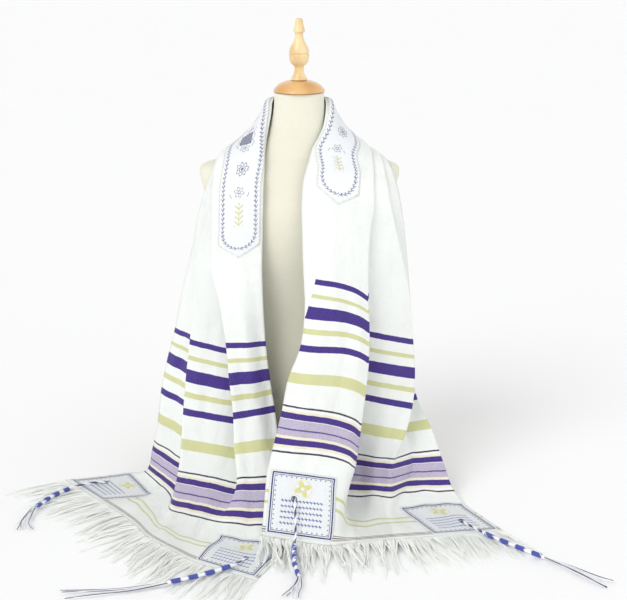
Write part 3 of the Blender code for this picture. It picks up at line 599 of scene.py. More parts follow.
def mesh_from_rings(name, rings, sharp_degrees):
    """A closed mesh through level rings of points, from the lowest ring to the highest."""
    bm = bmesh.new()
    rings = [[bm.verts.new(point) for point in ring] for ring in rings]
    for lower, upper in zip(rings, rings[1:]):
        for i in range(len(lower)):
            j = (i + 1) % len(lower)
            bm.faces.new((lower[i], lower[j], upper[j], upper[i]))
    bm.faces.new(list(reversed(rings[0])))
    bm.faces.new(rings[-1])
    mesh = bpy.data.meshes.new(name)
    bm.to_mesh(mesh)
    bm.free()
    mesh.shade_smooth()
    mesh.set_sharp_from_angle(angle=math.radians(sharp_degrees))
    return mesh


def add_piece(name, mesh, look, slot, *nodes):
    """Links a piece, gives it its material, and fastens it to the frame."""
    piece = bpy.data.objects.new(name, mesh)
    bpy.context.scene.collection.objects.link(piece)
    mesh.materials.append(look)
    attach(piece, BODY)
    if nodes:
        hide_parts(*nodes)
    return piece


def thicken(piece, thickness):
    """Gives a sheet its wall and applies it."""
    wall = piece.modifiers.new("Wall", "SOLIDIFY")
    wall.thickness = thickness
    wall.offset = 0.0
    wall.use_even_offset = False
    graph = bpy.context.evaluated_depsgraph_get()
    mesh = bpy.data.meshes.new_from_object(piece.evaluated_get(graph))
    piece.modifiers.clear()
    piece.data = mesh


class Term:
    """One socket of a material's nodes, so that sums over sockets read as sums."""

    def __init__(self, shade, socket):
        self.shade = shade
        self.socket = socket

    def _math(self, operation, *others):
        node = self.shade.tree.nodes.new("ShaderNodeMath")
        node.operation = operation
        for slot, value in zip(node.inputs, (self, *others)):
            self.shade.feed(slot, value)
        return Term(self.shade, node.outputs[0])

    def __add__(self, other):
        return self._math("ADD", other)

    def __sub__(self, other):
        return self._math("SUBTRACT", other)

    def __mul__(self, other):
        return self._math("MULTIPLY", other)

    def __truediv__(self, other):
        return self._math("DIVIDE", other)

    def size(self):
        return self._math("ABSOLUTE")

    def power(self, other):
        return self._math("POWER", other)

    def sine(self):
        return self._math("SINE")

    def root(self):
        return self._math("SQRT")

    def angle(self, other):
        return self._math("ARCTAN2", other)

    def repeat(self, period):
        return self._math("FLOORED_MODULO", period)

    def least(self, other):
        return self._math("MINIMUM", other)

    def most(self, other):
        return self._math("MAXIMUM", other)

    def over(self, other):
        return self._math("GREATER_THAN", other)

    def under(self, other):
        return self._math("LESS_THAN", other)


class Shade:
    """One material, with its Principled shader, built by short calls."""

    def __init__(self, name, roughness, sheen=0.0, coat=0.0):
        self.mat = bpy.data.materials.new(name)
        self.mat.use_nodes = True
        self.tree = self.mat.node_tree
        self.shader = self.tree.nodes["Principled BSDF"]
        self.shader.inputs["Roughness"].default_value = roughness
        self.shader.inputs["Sheen Weight"].default_value = sheen
        self.shader.inputs["Sheen Roughness"].default_value = 0.45
        self.shader.inputs["Coat Weight"].default_value = coat
        self.shader.inputs["Coat Roughness"].default_value = 0.18

    def feed(self, slot, value):
        if isinstance(value, Term):
            self.tree.links.new(value.socket, slot)
        elif value is not None:
            slot.default_value = value

    def node(self, kind, output=0, settings=None, **inputs):
        node = self.tree.nodes.new(kind)
        for key, value in (settings or {}).items():
            setattr(node, key, value)
        for key, value in inputs.items():
            self.feed(node.inputs[key.replace("_", " ")], value)
        return Term(self, node.outputs[output])

    def cut(self):
        """Distances across and along the cloth, in metres."""
        return self.parts(self.node("ShaderNodeUVMap", settings={"uv_map": "cut"}))[:2]

    def parts(self, where):
        """The x, y and z of a point."""
        apart = self.tree.nodes.new("ShaderNodeSeparateXYZ")
        self.feed(apart.inputs[0], where)
        return [Term(self, output) for output in apart.outputs]

    def place(self):
        """The point on the object, which doesn't move in any view."""
        return self.node("ShaderNodeTexCoord", output=3)

    def vector(self, x, y, z=0.0):
        node = self.tree.nodes.new("ShaderNodeCombineXYZ")
        for slot, value in zip(node.inputs, (x, y, z)):
            self.feed(slot, value)
        return Term(self, node.outputs[0])

    def noise(self, where, scale, detail=2.0, roughness=0.5):
        return self.node(
            "ShaderNodeTexNoise", Vector=where, Scale=scale, Detail=detail, Roughness=roughness
        )

    def mix(self, first, second, factor):
        node = self.tree.nodes.new("ShaderNodeMix")
        node.data_type = "RGBA"
        self.feed(node.inputs[0], factor)
        self.feed(node.inputs[6], first)
        self.feed(node.inputs[7], second)
        return Term(self, node.outputs[2])

    def spread(self, value, low, high, to_low, to_high):
        return self.node(
            "ShaderNodeMapRange", Value=value, From_Min=low, From_Max=high, To_Min=to_low, To_Max=to_high
        )

    def colour(self, value):
        self.feed(self.shader.inputs["Base Color"], value)

    def relief(self, height, distance, strength=1.0):
        """Adds relief in metres on top of what is there."""
        bump = self.tree.nodes.new("ShaderNodeBump")
        bump.inputs["Distance"].default_value = distance
        bump.inputs["Strength"].default_value = strength
        self.feed(bump.inputs["Height"], height)
        normal = self.shader.inputs["Normal"]
        if normal.is_linked:
            self.tree.links.new(normal.links[0].from_socket, bump.inputs["Normal"])
        self.tree.links.new(bump.outputs[0], normal)


def rgb(red, green, blue):
    """A colour seen on a screen, 0 to 255, as the shader's own values."""
    values = []
    for part in (red, green, blue):
        part = part / 255
        values.append(part / 12.92 if part <= 0.04045 else ((part + 0.055) / 1.055) ** 2.4)
    return (*values, 1.0)


CLOTH_WHITE = rgb(244, 247, 244)
CLOTH_SHADE = rgb(229, 233, 229)
PURPLE = rgb(54, 16, 128)
GOLD = rgb(211, 212, 156)
LILAC = rgb(202, 193, 211)
LILAC_SPECK = rgb(136, 124, 170)
CREAM = rgb(238, 231, 208)
DARK_LINE = rgb(54, 42, 66)
BROWN_LINE = rgb(104, 82, 80)
BAND_WHITE = rgb(238, 240, 242)
BAND_SHADE = rgb(222, 226, 232)
PATCH_WHITE = rgb(232, 235, 236)
PATCH_SHADE = rgb(214, 219, 224)
PATCH_BLUE = rgb(92, 108, 180)
NAVY = rgb(38, 46, 116)
GREY_VIOLET = rgb(98, 98, 142)
SLATE = rgb(92, 98, 132)
THREAD_GOLD = rgb(226, 222, 150)
CORD_BLUE = rgb(30, 52, 160)
CORD_NAVY = rgb(36, 38, 92)
CORD_WHITE = rgb(242, 244, 246)
FRINGE_WHITE = rgb(253, 254, 251)
FRINGE_SHADE = rgb(245, 248, 242)
YARN_GLINT = rgb(250, 250, 250)
LINEN = rgb(233, 231, 215)
LINEN_SHADE = rgb(218, 214, 192)
LINEN_PALE = rgb(236, 235, 224)
CAP_LIGHT = rgb(232, 186, 122)
CAP_DARK = rgb(198, 142, 80)
FINIAL_LIGHT = rgb(240, 216, 164)
FINIAL_DARK = rgb(212, 174, 116)
# Painted shade for the cap's lower edge, where it meets the neck
RIM_PAINTED_SHADE = rgb(112, 78, 44)
FLOOR_PALE = rgb(250, 250, 251)
FLOOR_WHITE = rgb(252, 252, 252)

# Woven stripes: the middle's distance from the hem and the width in millimetres, and the colour
Stripe = namedtuple("Stripe", "from_hem width colour")
LOW_STRIPES = [
    Stripe(8.5, 2.0, BROWN_LINE),
    Stripe(13, 2.0, BROWN_LINE),
    Stripe(17.5, 2.0, BROWN_LINE),
    Stripe(63, 5.5, GOLD),
    Stripe(82, 5.5, GOLD),
    Stripe(152, 2.6, DARK_LINE),
    Stripe(161.5, 4.5, CREAM),
    Stripe(169, 10.5, PURPLE),
    Stripe(177, 4.5, CREAM),
    Stripe(184.2, 9.0, LILAC),
    Stripe(190, 2.6, PURPLE),
    Stripe(198.8, 15.0, LILAC),
]
HIGH_STRIPES = [
    Stripe(212, 11.0, PURPLE),
    Stripe(219.8, 4.5, CREAM),
    Stripe(229, 2.6, DARK_LINE),
    Stripe(281, 18.0, GOLD),
    Stripe(331, 10.0, PURPLE),
    Stripe(358, 8.5, GOLD),
    Stripe(387, 20.0, PURPLE),
    Stripe(417, 7.0, GOLD),
    Stripe(444, 10.0, PURPLE),
]
LOW_RAMP = (0.0, 0.2064)
HIGH_RAMP = (0.2064, 0.480)
MIDDLE_OF_SHAWL = (RIGHT_HALF - LEFT_HALF) / 2
LILAC_MIDDLE = 0.193
LILAC_HALF = 0.0132
# Where the right panel's inner edge is turned, no stripe shows on it
PLAIN_EDGE = 0.022
# The right panel's first layer is pulled up towards its fold, and hangs lower near its top
BOW = 0.054
DROOP = 0.006
# Where the bow begins and ends and the droop begins, and over what length, in millimetres from the hem
BOW_FROM = 110
BOW_RISE = 60
BOW_TO = 560
BOW_FALL = 90
DROOP_FROM = 395
DROOP_RISE = 40
# Pitch and relief of the threads, in metres
CLOTH_THREAD = (0.0011, 0.00012)
SATIN_THREAD = (0.0008, 0.00006)
# How far a stripe strays from its line
STRIPE_WAVER = 0.0016


def stripe_ramp(shade, from_hem, stripes, ends, ground):
    """A colour ramp with two stops a stripe."""
    low, high = ends
    position = shade.spread(from_hem, low, high, 0.0, 1.0)
    node = shade.tree.nodes.new("ShaderNodeValToRGB")
    ramp = node.color_ramp
    ramp.interpolation = "CONSTANT"
    ramp.elements[0].position = 0.0
    ramp.elements[0].color = ground
    ramp.elements[1].position = 1.0
    ramp.elements[1].color = ground
    for stripe in stripes:
        for side, colour in ((-0.5, stripe.colour), (0.5, ground)):
            edge = (stripe.from_hem + side * stripe.width) * MM
            if low < edge < high:
                stop = ramp.elements.new((edge - low) / (high - low))
                stop.color = colour
    shade.feed(node.inputs[0], position)
    return Term(shade, node.outputs[0])


def woven(shade, across, along, thread, depth):
    """Relief of a plain weave: threads both ways, uneven as spun yarn is."""
    wobble = shade.noise(shade.vector(across * 60, along * 60), 1.0)
    warp = ((across / thread + wobble * 0.6) * math.tau).sine()
    weft = ((along / thread + wobble * 0.6) * math.tau).sine()
    shade.relief(warp * weft, depth)


def cloth_look():
    """White woven cloth with its purple, gold and dark woven stripes."""
    shade = Shade("striped_cloth", 0.8, sheen=0.08)
    across, along = shade.cut()
    waver = shade.noise(shade.vector(across * 70, along * 70), 1.0, detail=3.0)
    from_hem = (along - MIDDLE_OF_SHAWL).size() * -1 + CLOTH_LENGTH / 2
    from_hem = from_hem + (waver - 0.5) * STRIPE_WAVER
    yarn = shade.noise(shade.vector(across * 26, along * 900), 1.0, detail=2.0)
    ends = shade.noise(shade.vector(across * 900, along * 26), 1.0, detail=2.0)
    ground = shade.mix(CLOTH_WHITE, CLOTH_SHADE, ((yarn + ends) * 0.5).power(2.0))
    low = stripe_ramp(shade, from_hem, LOW_STRIPES, LOW_RAMP, (*CLOTH_WHITE[:3], 0.0))
    high = stripe_ramp(shade, from_hem, HIGH_STRIPES, HIGH_RAMP, (*CLOTH_WHITE[:3], 0.0))
    upper = from_hem.over(LOW_RAMP[1])
    striped = shade.mix(low, high, upper)
    low_alpha = Term(shade, low.socket.node.outputs[1])
    high_alpha = Term(shade, high.socket.node.outputs[1])
    cover = (low_alpha * (upper * -1 + 1) + high_alpha * upper) * from_hem.under(HIGH_RAMP[1])
    thread = shade.noise(shade.vector(across * 420, along * 1500), 1.0, detail=1.0)
    right = along.over(MIDDLE_OF_SHAWL)
    plain_edge = right * across.under(shade.spread(from_hem, 0.375, 0.450, 0.0, PLAIN_EDGE))
    cover = cover * (plain_edge * -1 + 1)
    faded = cover * shade.spread(thread, 0.30, 0.62, 0.93, 1.0)
    in_lilac = (from_hem - LILAC_MIDDLE).size().under(LILAC_HALF)
    speck = shade.noise(shade.vector(across * 900, along * 900), 1.0, detail=1.0).over(0.53)
    shade.colour(shade.mix(shade.mix(ground, striped, faded), LILAC_SPECK, speck * in_lilac * 0.6))
    soft = shade.noise(shade.place(), 15.0, detail=3.0, roughness=0.55)
    shade.relief(soft, 0.010, 0.8)
    crumple = shade.noise(shade.vector(across * 24, along * 9), 1.0, detail=3.0)
    shade.relief(crumple, 0.007, 0.7)
    woven(shade, across, along, *CLOTH_THREAD)
    return shade.mat


def make_cloth(sheet):
    v_values = np.repeat(sheet.places[:, None], sheet.grid.shape[1], axis=1)
    first, last = layer_columns(0)
    share = np.linspace(0, 1, last - first + 1)
    from_hem = (RIGHT_HALF - sheet.places) / MM
    pulled = smooth_step((from_hem - BOW_FROM) / BOW_RISE) * smooth_step((BOW_TO - from_hem) / BOW_FALL)
    v_values[:, first : last + 1] += BOW * share**2 * (1 - share) * pulled[:, None]
    drooped = smooth_step((from_hem - DROOP_FROM) / DROOP_RISE) * pulled
    v_values[:, first : last + 1] -= DROOP * drooped[:, None]
    mesh = mesh_from_grid("shawl", sheet.grid, sheet.widths, v_values)
    cloth = add_piece("shawl", mesh, cloth_look(), "cloth", "shawl_cloth")
    thicken(cloth, WALL)
    return cloth


def patch_look():
    """White satin with a navy border, a row of dots, a gold rosette and rows of blue leaves."""
    shade = Shade("corner_patch", 0.45, sheen=0.1)
    across, along = shade.cut()
    x = across - PATCH_SIZE / 2
    y = along - PATCH_SIZE / 2
    rough = shade.noise(shade.vector(across * 800, along * 800), 1.0, detail=1.0)
    edge = x.size().most(y.size()) * -1 + PATCH_SIZE / 2 + (rough - 0.5) * 0.0009
    border = ((edge - 0.0045).size().under(0.0012)).most((edge - 0.0080).size().under(0.0005))
    dot_x = x.repeat(0.0085) - 0.00425
    dot_y = y.repeat(0.0085) - 0.00425
    dots = (dot_x * dot_x + dot_y * dot_y).root().under(0.0012) * (edge - 0.0140).size().under(0.0042)
    rosette_y = y - 0.028
    radius = (x * x + rosette_y * rosette_y).root()
    turn = rosette_y.angle(x)
    petals = ((turn * 4).sine() * 0.0040 + 0.0105 - radius).over(0.0) * radius.over(0.0035)
    ring = (radius - 0.0155).size().under(0.0006)
    rows = (y + 0.014).size().under(0.0250) * x.size().under(0.036)
    row = y.repeat(0.0100) - 0.0050
    leaf_x = x.repeat(0.0060) - 0.0030
    blade = ((leaf_x + row * 0.45).size() * 1.5 + row.size() * 0.8).under(0.0026)
    stem = row.size().under(0.0005)
    leaves = blade.most(stem) * rows * rough.over(0.40)
    fibre = shade.noise(shade.vector(across * 500, along * 90), 1.0)
    ground = shade.mix(PATCH_WHITE, PATCH_SHADE, fibre * 0.7)
    colour = shade.mix(ground, PATCH_BLUE, leaves)
    colour = shade.mix(colour, GREY_VIOLET, dots)
    colour = shade.mix(colour, THREAD_GOLD, petals.most(ring))
    colour = shade.mix(colour, NAVY, border)
    shade.colour(colour)
    raised = border.most(leaves).most(dots).most(petals)
    stitch = ((across + along) * 3600).sine() * 0.25 + 1
    shade.relief(raised * stitch, 0.0006)
    woven(shade, across, along, *SATIN_THREAD)
    return shade.mat


def make_patch(sheet, name, left, inner, look):
    """A square patch in one corner of the sheet."""
    hem = -LEFT_HALF if left else RIGHT_HALF
    inward = 1 if left else -1
    steps = np.linspace(0, PATCH_SIZE, PATCH_STEPS + 1)
    lowest = PATCH_INSET if inner else CLOTH_WIDTH - PATCH_INSET - PATCH_SIZE
    places = sorted(hem + inward * (PATCH_INSET + steps))
    layer = 0 if inner else 4
    grid = np.array([sheet.read(place, lowest + steps, PATCH_OUT, layer) for place in places])
    u_values = np.repeat(steps[None, :], len(places), axis=0)
    from_hem = np.array([abs(place - hem) - PATCH_INSET for place in places])
    v_values = np.repeat(from_hem[:, None], len(steps), axis=1)
    patch = add_piece(name, mesh_from_grid(name, grid, u_values, v_values), look, "patch", "corner_" + name)
    thicken(patch, PATCH_WALL)
    return patch


# The neckband's ornament, in metres: the border runs inside the edge and round each end
BORDER_HALF = 0.0290
BORDER_END = 0.0450
BORDER_ROUND = 0.0275
CHEVRON_PITCH = 0.0072
BLOCK_PITCH = 0.118


def band_look(length):
    """White satin band with a chevron border, hatched blocks, outlined flowers and gold sprigs."""
    shade = Shade("neckband", 0.5, sheen=0.1)
    across, along = shade.cut()
    x = across - ATARAH_WIDTH / 2
    from_end = along.least(along * -1 + length)
    rough = shade.noise(shade.vector(across * 900, along * 900), 1.0, detail=1.0)
    wobble = (rough - 0.5) * 0.0014
    beyond = (from_end * -1 + BORDER_END).most(0.0) / BORDER_ROUND
    side = x.size() / BORDER_HALF
    reach = (side * side + beyond * beyond).root()
    off = (reach - 1) * BORDER_HALF + wobble
    turn = beyond.angle(side)
    run = (from_end - BORDER_END).most(0.0) - turn * BORDER_HALF
    step = run.repeat(CHEVRON_PITCH) - CHEVRON_PITCH / 2
    chevron = (step - off.size() * 0.9 + 0.0014).size().under(0.0008) * off.size().under(0.0034)
    stem = (off - (run * (math.tau / CHEVRON_PITCH)).sine() * 0.0011).size().under(0.0006)
    border = chevron.most(stem)
    flank = x.size() * -1 + ATARAH_WIDTH / 2
    point = from_end - x.size() * (ATARAH_POINT / (ATARAH_WIDTH / 2))
    hem_stitch = (flank.least(point * 0.84) - 0.0020).size().under(0.0005)
    dashes = (along * 900).sine().over(-0.2)

    cell = (along - length / 2 + BLOCK_PITCH / 2).repeat(BLOCK_PITCH) - BLOCK_PITCH / 2
    middle = from_end.over(0.100)
    block = cell.size().under(0.0125) * x.size().under(0.0110) * middle
    frame_line = block * cell.size().over(0.0112).most(x.size().over(0.0097))
    hatch = ((cell + x) * 2300).sine().most(((cell - x) * 2300).sine()).over(0.45) * block
    flower_y = cell.size() - 0.0215
    flower_r = (x * x + flower_y * flower_y).root() + wobble
    petals = (flower_y.angle(x) * 6).sine() * 0.0019 + 0.0068
    flower = (petals - flower_r).size().under(0.0006).most((flower_r - 0.0024).size().under(0.0006))
    tendril_x = x.size() - 0.0145
    tendril = (tendril_x - (cell * 420).sine() * 0.0018).size().under(0.0005) * cell.size().under(0.020)
    rosette_y = cell.size() - BLOCK_PITCH / 2
    rosette_r = (x * x + rosette_y * rosette_y).root() + wobble
    rosette_petals = (rosette_y.angle(x) * 8).sine() * 0.0017 + 0.0092
    rosette_edge = (rosette_petals - rosette_r).size().under(0.0007)
    rosette = rosette_edge.most((rosette_r - 0.0050).size().under(0.0007))
    drawn = flower.most(tendril) * cell.size().under(0.031)
    drawn = drawn.most(rosette.most(rosette_r.under(0.0026))) * middle

    sprig_y = from_end - 0.074
    leaf = sprig_y.repeat(0.0080) - 0.0040
    blade = (leaf - x.size() * 0.8 + 0.0030).size().under(0.0011) * x.size().under(0.0075)
    sprig = blade.most(x.size().under(0.0006)) * sprig_y.size().under(0.0180)
    gold = sprig * rough.over(0.36)

    fibre = shade.noise(shade.vector(across * 90, along * 500), 1.0)
    colour = shade.mix(BAND_WHITE, BAND_SHADE, fibre * 0.7)
    violet = border.most(drawn) * rough.over(0.36)
    colour = shade.mix(colour, GREY_VIOLET, violet * 0.85)
    dark = frame_line.most(hatch)
    colour = shade.mix(colour, SLATE, dark.most(block * 0.35))
    colour = shade.mix(colour, THREAD_GOLD, gold)
    colour = shade.mix(colour, GOLD, hem_stitch * dashes * 0.8)
    shade.colour(colour)
    raised = violet.most(dark).most(gold).most(hem_stitch * 0.4)
    stitch = ((across - along) * 3600).sine() * 0.25 + 1
    shade.relief(raised * stitch, 0.0006)
    woven(shade, across, along, *SATIN_THREAD)
    return shade.mat


def make_atarah(sheet):
    """The neckband: a strip with pointed ends."""
    first = ATARAH_LEFT_TIP - LEFT_HALF
    last = RIGHT_HALF - ATARAH_RIGHT_TIP
    length = last - first
    grid = []
    u_values = []
    v_values = []
    for place in np.linspace(first, last, ATARAH_ROWS + 1):
        inset = np.interp(place, *zip(*ATARAH_INSETS)) * MM
        full = min((place - first) / ATARAH_POINT, (last - place) / ATARAH_POINT, 1.0)
        full = max(full, 0.02)
        cross = (np.linspace(-0.5, 0.5, ATARAH_COLUMNS + 1) * full + 0.5) * ATARAH_WIDTH
        grid.append(sheet.read(place, inset + cross, PATCH_OUT, 0))
        u_values.append(cross)
        v_values.append(np.full(len(cross), place - first))
    mesh = mesh_from_grid("neckband", np.array(grid), np.array(u_values), np.array(v_values))
    band = add_piece("neckband", mesh, band_look(length), "band", "atarah")
    thicken(band, PATCH_WALL)
    return band


class Tubes:
    """Many thin tubes gathered into one mesh, with a colour for each ring."""

    def __init__(self):
        self.points = []
        self.faces = []
        self.colours = []

    def add(self, path, radii, colours, sides):
        """One closed tube along a path, from its radii and colours a ring."""
        path = np.asarray(path, float)
        ways = unit(np.gradient(path, axis=0))
        side = unit(np.cross(ways, (0.03, 0.02, 1.0)))
        up = np.cross(side, ways)
        first = len(self.points)
        for k in range(len(path)):
            for j in range(sides):
                angle = math.tau * j / sides
                offset = (side[k] * math.cos(angle) + up[k] * math.sin(angle)) * radii[k]
                self.points.append(path[k] + offset)
                self.colours.append(colours[k] if len(colours[k]) == 4 else colours[k][j])
        for k in range(len(path) - 1):
            for j in range(sides):
                a = first + k * sides + j
                b = first + k * sides + (j + 1) % sides
                self.faces.append((a, b, b + sides, a + sides))
        self.faces.append([first + j for j in reversed(range(sides))])
        self.faces.append([first + (len(path) - 1) * sides + j for j in range(sides)])

    def mesh(self, name):
        mesh = bpy.data.meshes.new(name)
        mesh.from_pydata([tuple(point) for point in self.points], [], self.faces)
        layer = mesh.color_attributes.new("yarn", "FLOAT_COLOR", "POINT")
        layer.data.foreach_set("color", np.array(self.colours, float).reshape(-1))
        mesh.shade_smooth()
        return mesh


def yarn_look(name, roughness, grain):
    """Spun yarn that takes its colour from the mesh, with a fine twist in its relief."""
    shade = Shade(name, roughness, sheen=0.4)
    colour = shade.node("ShaderNodeAttribute", settings={"attribute_name": "yarn"})
    speck = shade.noise(shade.place(), grain, detail=2.0)
    shade.colour(shade.mix(colour, YARN_GLINT, speck.power(3.0) * 0.35))
    shade.relief(speck, 0.0004)
    return shade.mat


# The fringe: soft locks of yarn beyond each hem, which crowd together into wavy clumps
LOCKS = 62
YARNS_IN_LOCK = 7
YARN_RADIUS = 0.00088
YARN_POINTS = 18
YARN_SIDES = 5
LOCK_SPREAD = 0.0125
LOCK_LENGTHS = (0.088, 0.130)
# Over what length a lock turns its way over the floor, and comes down to it
LOCK_BEND = 0.03
LOCK_FALL = 0.055
YARN_FLOOR = 0.0014
YARN_LIFT = 0.0055
YARN_SWAY = 0.0013
# Left of here the right fringe's locks rest on the left panel's corner
CORNER_EDGE = -0.014
CORNER_REST = 0.0085


def lock_direction(share, left):
    """The way a lock points over the floor: the locks fan out along the hem."""
    first, last = ((-0.30, -0.95), (-0.88, -0.48)) if left else ((-0.05, -1.0), (0.42, -0.91))
    flat = np.array(first) * (1 - share) + np.array(last) * share
    return unit(np.array([flat[0], flat[1], 0.0]))


def make_fringe(sheet, left, look):
    """Locks of yarn: out of the hem, down to the floor, and wavy along it."""
    chance = random.Random(31 if left else 32)
    last, before = (0, 1) if left else (-1, -2)
    edge = sheet.grid[last]
    run = unit(edge - sheet.grid[before])
    reach = path_marks(edge)
    tubes = Tubes()
    for number in range(LOCKS):
        share = (number + 0.5) / LOCKS
        station = reach[-1] * share + chance.uniform(-0.002, 0.002)
        root = np.array([np.interp(station, reach, edge[:, k]) for k in range(3)])
        out = np.array([np.interp(station, reach, run[:, k]) for k in range(3)])
        heading = lock_direction(share, left)
        side = np.array([-heading[1], heading[0], 0.0])
        sway = 0.10 * math.sin(share * 19 + 1.0) + chance.uniform(-0.16, 0.16)
        heading = unit(heading + side * sway)
        rest = 0.0 if left or root[0] > CORNER_EDGE else CORNER_REST
        length = chance.uniform(*LOCK_LENGTHS)
        wave = (chance.uniform(0, math.tau), chance.uniform(5.0, 9.0), chance.uniform(0.002, 0.0055))
        grow_lock(tubes, chance, root, unit(out * (1, 1, 0.4)), heading, side, length, wave, rest)
    name = "fringe_yarns_" + ("left" if left else "right")
    node = "fringe_" + ("left" if left else "right")
    return add_piece(name, tubes.mesh(name), look, "fringe", node)


def grow_lock(tubes, chance, root, out, heading, side, length, wave, rest):
    """The yarns of one lock: spread at the hem, drawn together and wavy towards the end."""
    start, turns, swing = wave
    for yarn in range(YARNS_IN_LOCK):
        fan = (yarn + 0.5) / YARNS_IN_LOCK - 0.5 + chance.uniform(-0.05, 0.05)
        own_wave = chance.uniform(0, math.tau)
        own = length * chance.uniform(0.78, 1.04)
        lift = chance.uniform(0.0, YARN_LIFT)
        tint = chance.uniform(0.0, 1.0)
        colour = tuple(a * (1 - tint) + b * tint for a, b in zip(FRINGE_WHITE, FRINGE_SHADE))
        path = []
        radii = []
        for k in range(YARN_POINTS):
            share = k / (YARN_POINTS - 1)
            distance = own * share
            turned = smooth_step(distance / LOCK_BEND)
            along = root + (out * (1 - turned) + heading * turned) * distance
            spread = LOCK_SPREAD * (0.8 - 0.45 * smooth_step(share / 0.7))
            together = math.sin(start + share * turns) * swing * share
            apart = math.sin(own_wave + share * 13) * YARN_SWAY * share
            point = along + side * (fan * spread + together + apart)
            fall = (1 - smooth_step(distance / LOCK_FALL)) * max(root[2] - YARN_FLOOR, 0.0)
            hump = math.sin(math.pi * min(share * 1.15, 1.0)) * lift
            point[2] = YARN_FLOOR + max(fall, rest) + hump
            path.append(point)
            radii.append(YARN_RADIUS * (0.9 + 0.35 * math.sin(own_wave + share * 5)) * (1 - 0.45 * share))
        tubes.add(path, radii, [colour] * YARN_POINTS, YARN_SIDES)


# The tassels' cords: blocks of fine windings, then free strands; and the patches' eyelets
STEM_RADIUS = 0.0024
WINDING_RADIUS = 0.0044
GAP_RADIUS = 0.0028
BLOCK_COUNT = 4
BLOCK_SHARE = 0.64
RAGGED = 0.006
WINDING_PITCH = 0.0012
STEM_SIDES = 12
STRAND_COUNT = 8
STRAND_RADIUS = 0.0008
STRAND_FAN = 0.015
STRAND_POINTS = 22
STRAND_SIDES = 6
EYELET_POINTS = 24
EYELET_OUT = 0.0021
EYELET_RADIUS = 0.0042
EYELET_THREAD = 0.0007


def in_block(share, slim):
    """Where a share of the cord lies: from 0 in a gap to 1 in the middle of a wound block."""
    beat = (share - slim) / (1 - slim) * BLOCK_COUNT % 1.0
    return float(smooth_step((BLOCK_SHARE / 2 - abs(beat - 0.5)) / 0.06))


def stem_ring(share, slim, length):
    """Radius of the cord at a share of its length, with the windings' relief."""
    if share < slim:
        return STEM_RADIUS * (0.80 + 0.12 * math.sin(share * length / 0.0022))
    plain = GAP_RADIUS + (WINDING_RADIUS - GAP_RADIUS) * in_block(share, slim)
    winding = abs(math.sin(math.pi * share * length / WINDING_PITCH))
    return plain * (0.86 + 0.12 * winding)


def stem_colours(share, slim, turn):
    """Colours round one ring: navy and white twisted, blue where it is wound, white between."""
    colours = []
    for side in range(STEM_SIDES):
        twist = math.sin(math.tau * side / STEM_SIDES + turn)
        ragged = share + RAGGED * math.sin(side * 2.3 + share * 330)
        if share < slim:
            colours.append(CORD_NAVY if twist > 0.0 else CORD_WHITE)
        elif in_block(ragged, slim) > 0.5:
            colours.append(CORD_BLUE if twist > -0.97 else CORD_WHITE)
        else:
            colours.append(CORD_BLUE if twist > 0.8 else CORD_WHITE)
    return colours


def make_tassel(end, route, look):
    """A wound cord from the patch to its head, with eight wavy strands beyond it."""
    points = np.array(route["stem"], float) * MM
    knots = path_marks(points)
    length = knots[-1]
    count = int(length / WINDING_PITCH * 4)
    shares = np.linspace(0, 1, count)
    path = smooth_read(knots, points, shares * length)
    slim = route["slim"]
    radii = [stem_ring(share, slim, length) for share in shares]
    colours = [stem_colours(share, slim, share * length / 0.0045) for share in shares]
    tubes = Tubes()
    tubes.add(path, radii, colours, STEM_SIDES)
    chance = random.Random(len(end) * 7 + 3)
    ends = np.array(route["strands"], float) * MM
    trail = np.concatenate([[path[-4], path[-1]], ends])
    marks = path_marks(trail)
    for strand in range(STRAND_COUNT):
        grow_strand(tubes, chance, trail, marks, strand)
    name = "tzitzit_cord_" + end
    return add_piece(name, tubes.mesh(name), look, "cord", "tzitzit_" + end)


def grow_strand(tubes, chance, trail, marks, strand):
    """One free strand of a tassel, fanned out from its place round the head."""
    angle = math.tau * (strand + 0.75) / STRAND_COUNT
    wave = chance.uniform(0, math.tau)
    own = marks[-1] * chance.uniform(0.86, 1.0)
    places = np.linspace(marks[1] * 0.5, own, STRAND_POINTS)
    middle = smooth_read(marks, trail, places)
    ways = unit(np.gradient(middle, axis=0))
    path = []
    for k, point in enumerate(middle):
        share = k / (STRAND_POINTS - 1)
        side = unit(np.cross(ways[k], (0, 0, 1)))
        across = math.cos(angle) * (0.0022 + STRAND_FAN * 0.8 * share**1.3)
        sway = math.sin(wave + share * 6) * 0.0028 * share
        lift = math.sin(angle) * 0.0018 * (1 - share * 0.6)
        point = point + side * (across + sway) + np.array([0, 0, lift])
        point[2] = max(point[2], STRAND_RADIUS + 0.0004)
        path.append(point)
    colour = CORD_WHITE if strand % 3 else CORD_NAVY
    radii = [STRAND_RADIUS * (1 - 0.25 * k / STRAND_POINTS) for k in range(STRAND_POINTS)]
    tubes.add(path, radii, [colour] * STRAND_POINTS, STRAND_SIDES)


def make_eyelets(sheet, look):
    """A stitched ring in each patch, where its cord passes through."""
    tubes = Tubes()
    for route in TASSELS.values():
        start = Vector([value * MM for value in route["stem"][0]])
        centre, normal = nearest_on_sheet(sheet, start)
        side = unit(np.cross(normal, (0.3, 1.0, 0.2)))
        other = np.cross(normal, side)
        ring = []
        for k in range(EYELET_POINTS + 1):
            angle = math.tau * k / EYELET_POINTS
            way = side * math.cos(angle) + other * math.sin(angle)
            ring.append(centre + normal * EYELET_OUT + way * EYELET_RADIUS)
        tubes.add(ring, [EYELET_THREAD] * len(ring), [NAVY] * len(ring), STRAND_SIDES)
    return add_piece("eyelets", tubes.mesh("eyelets"), look, "patch")


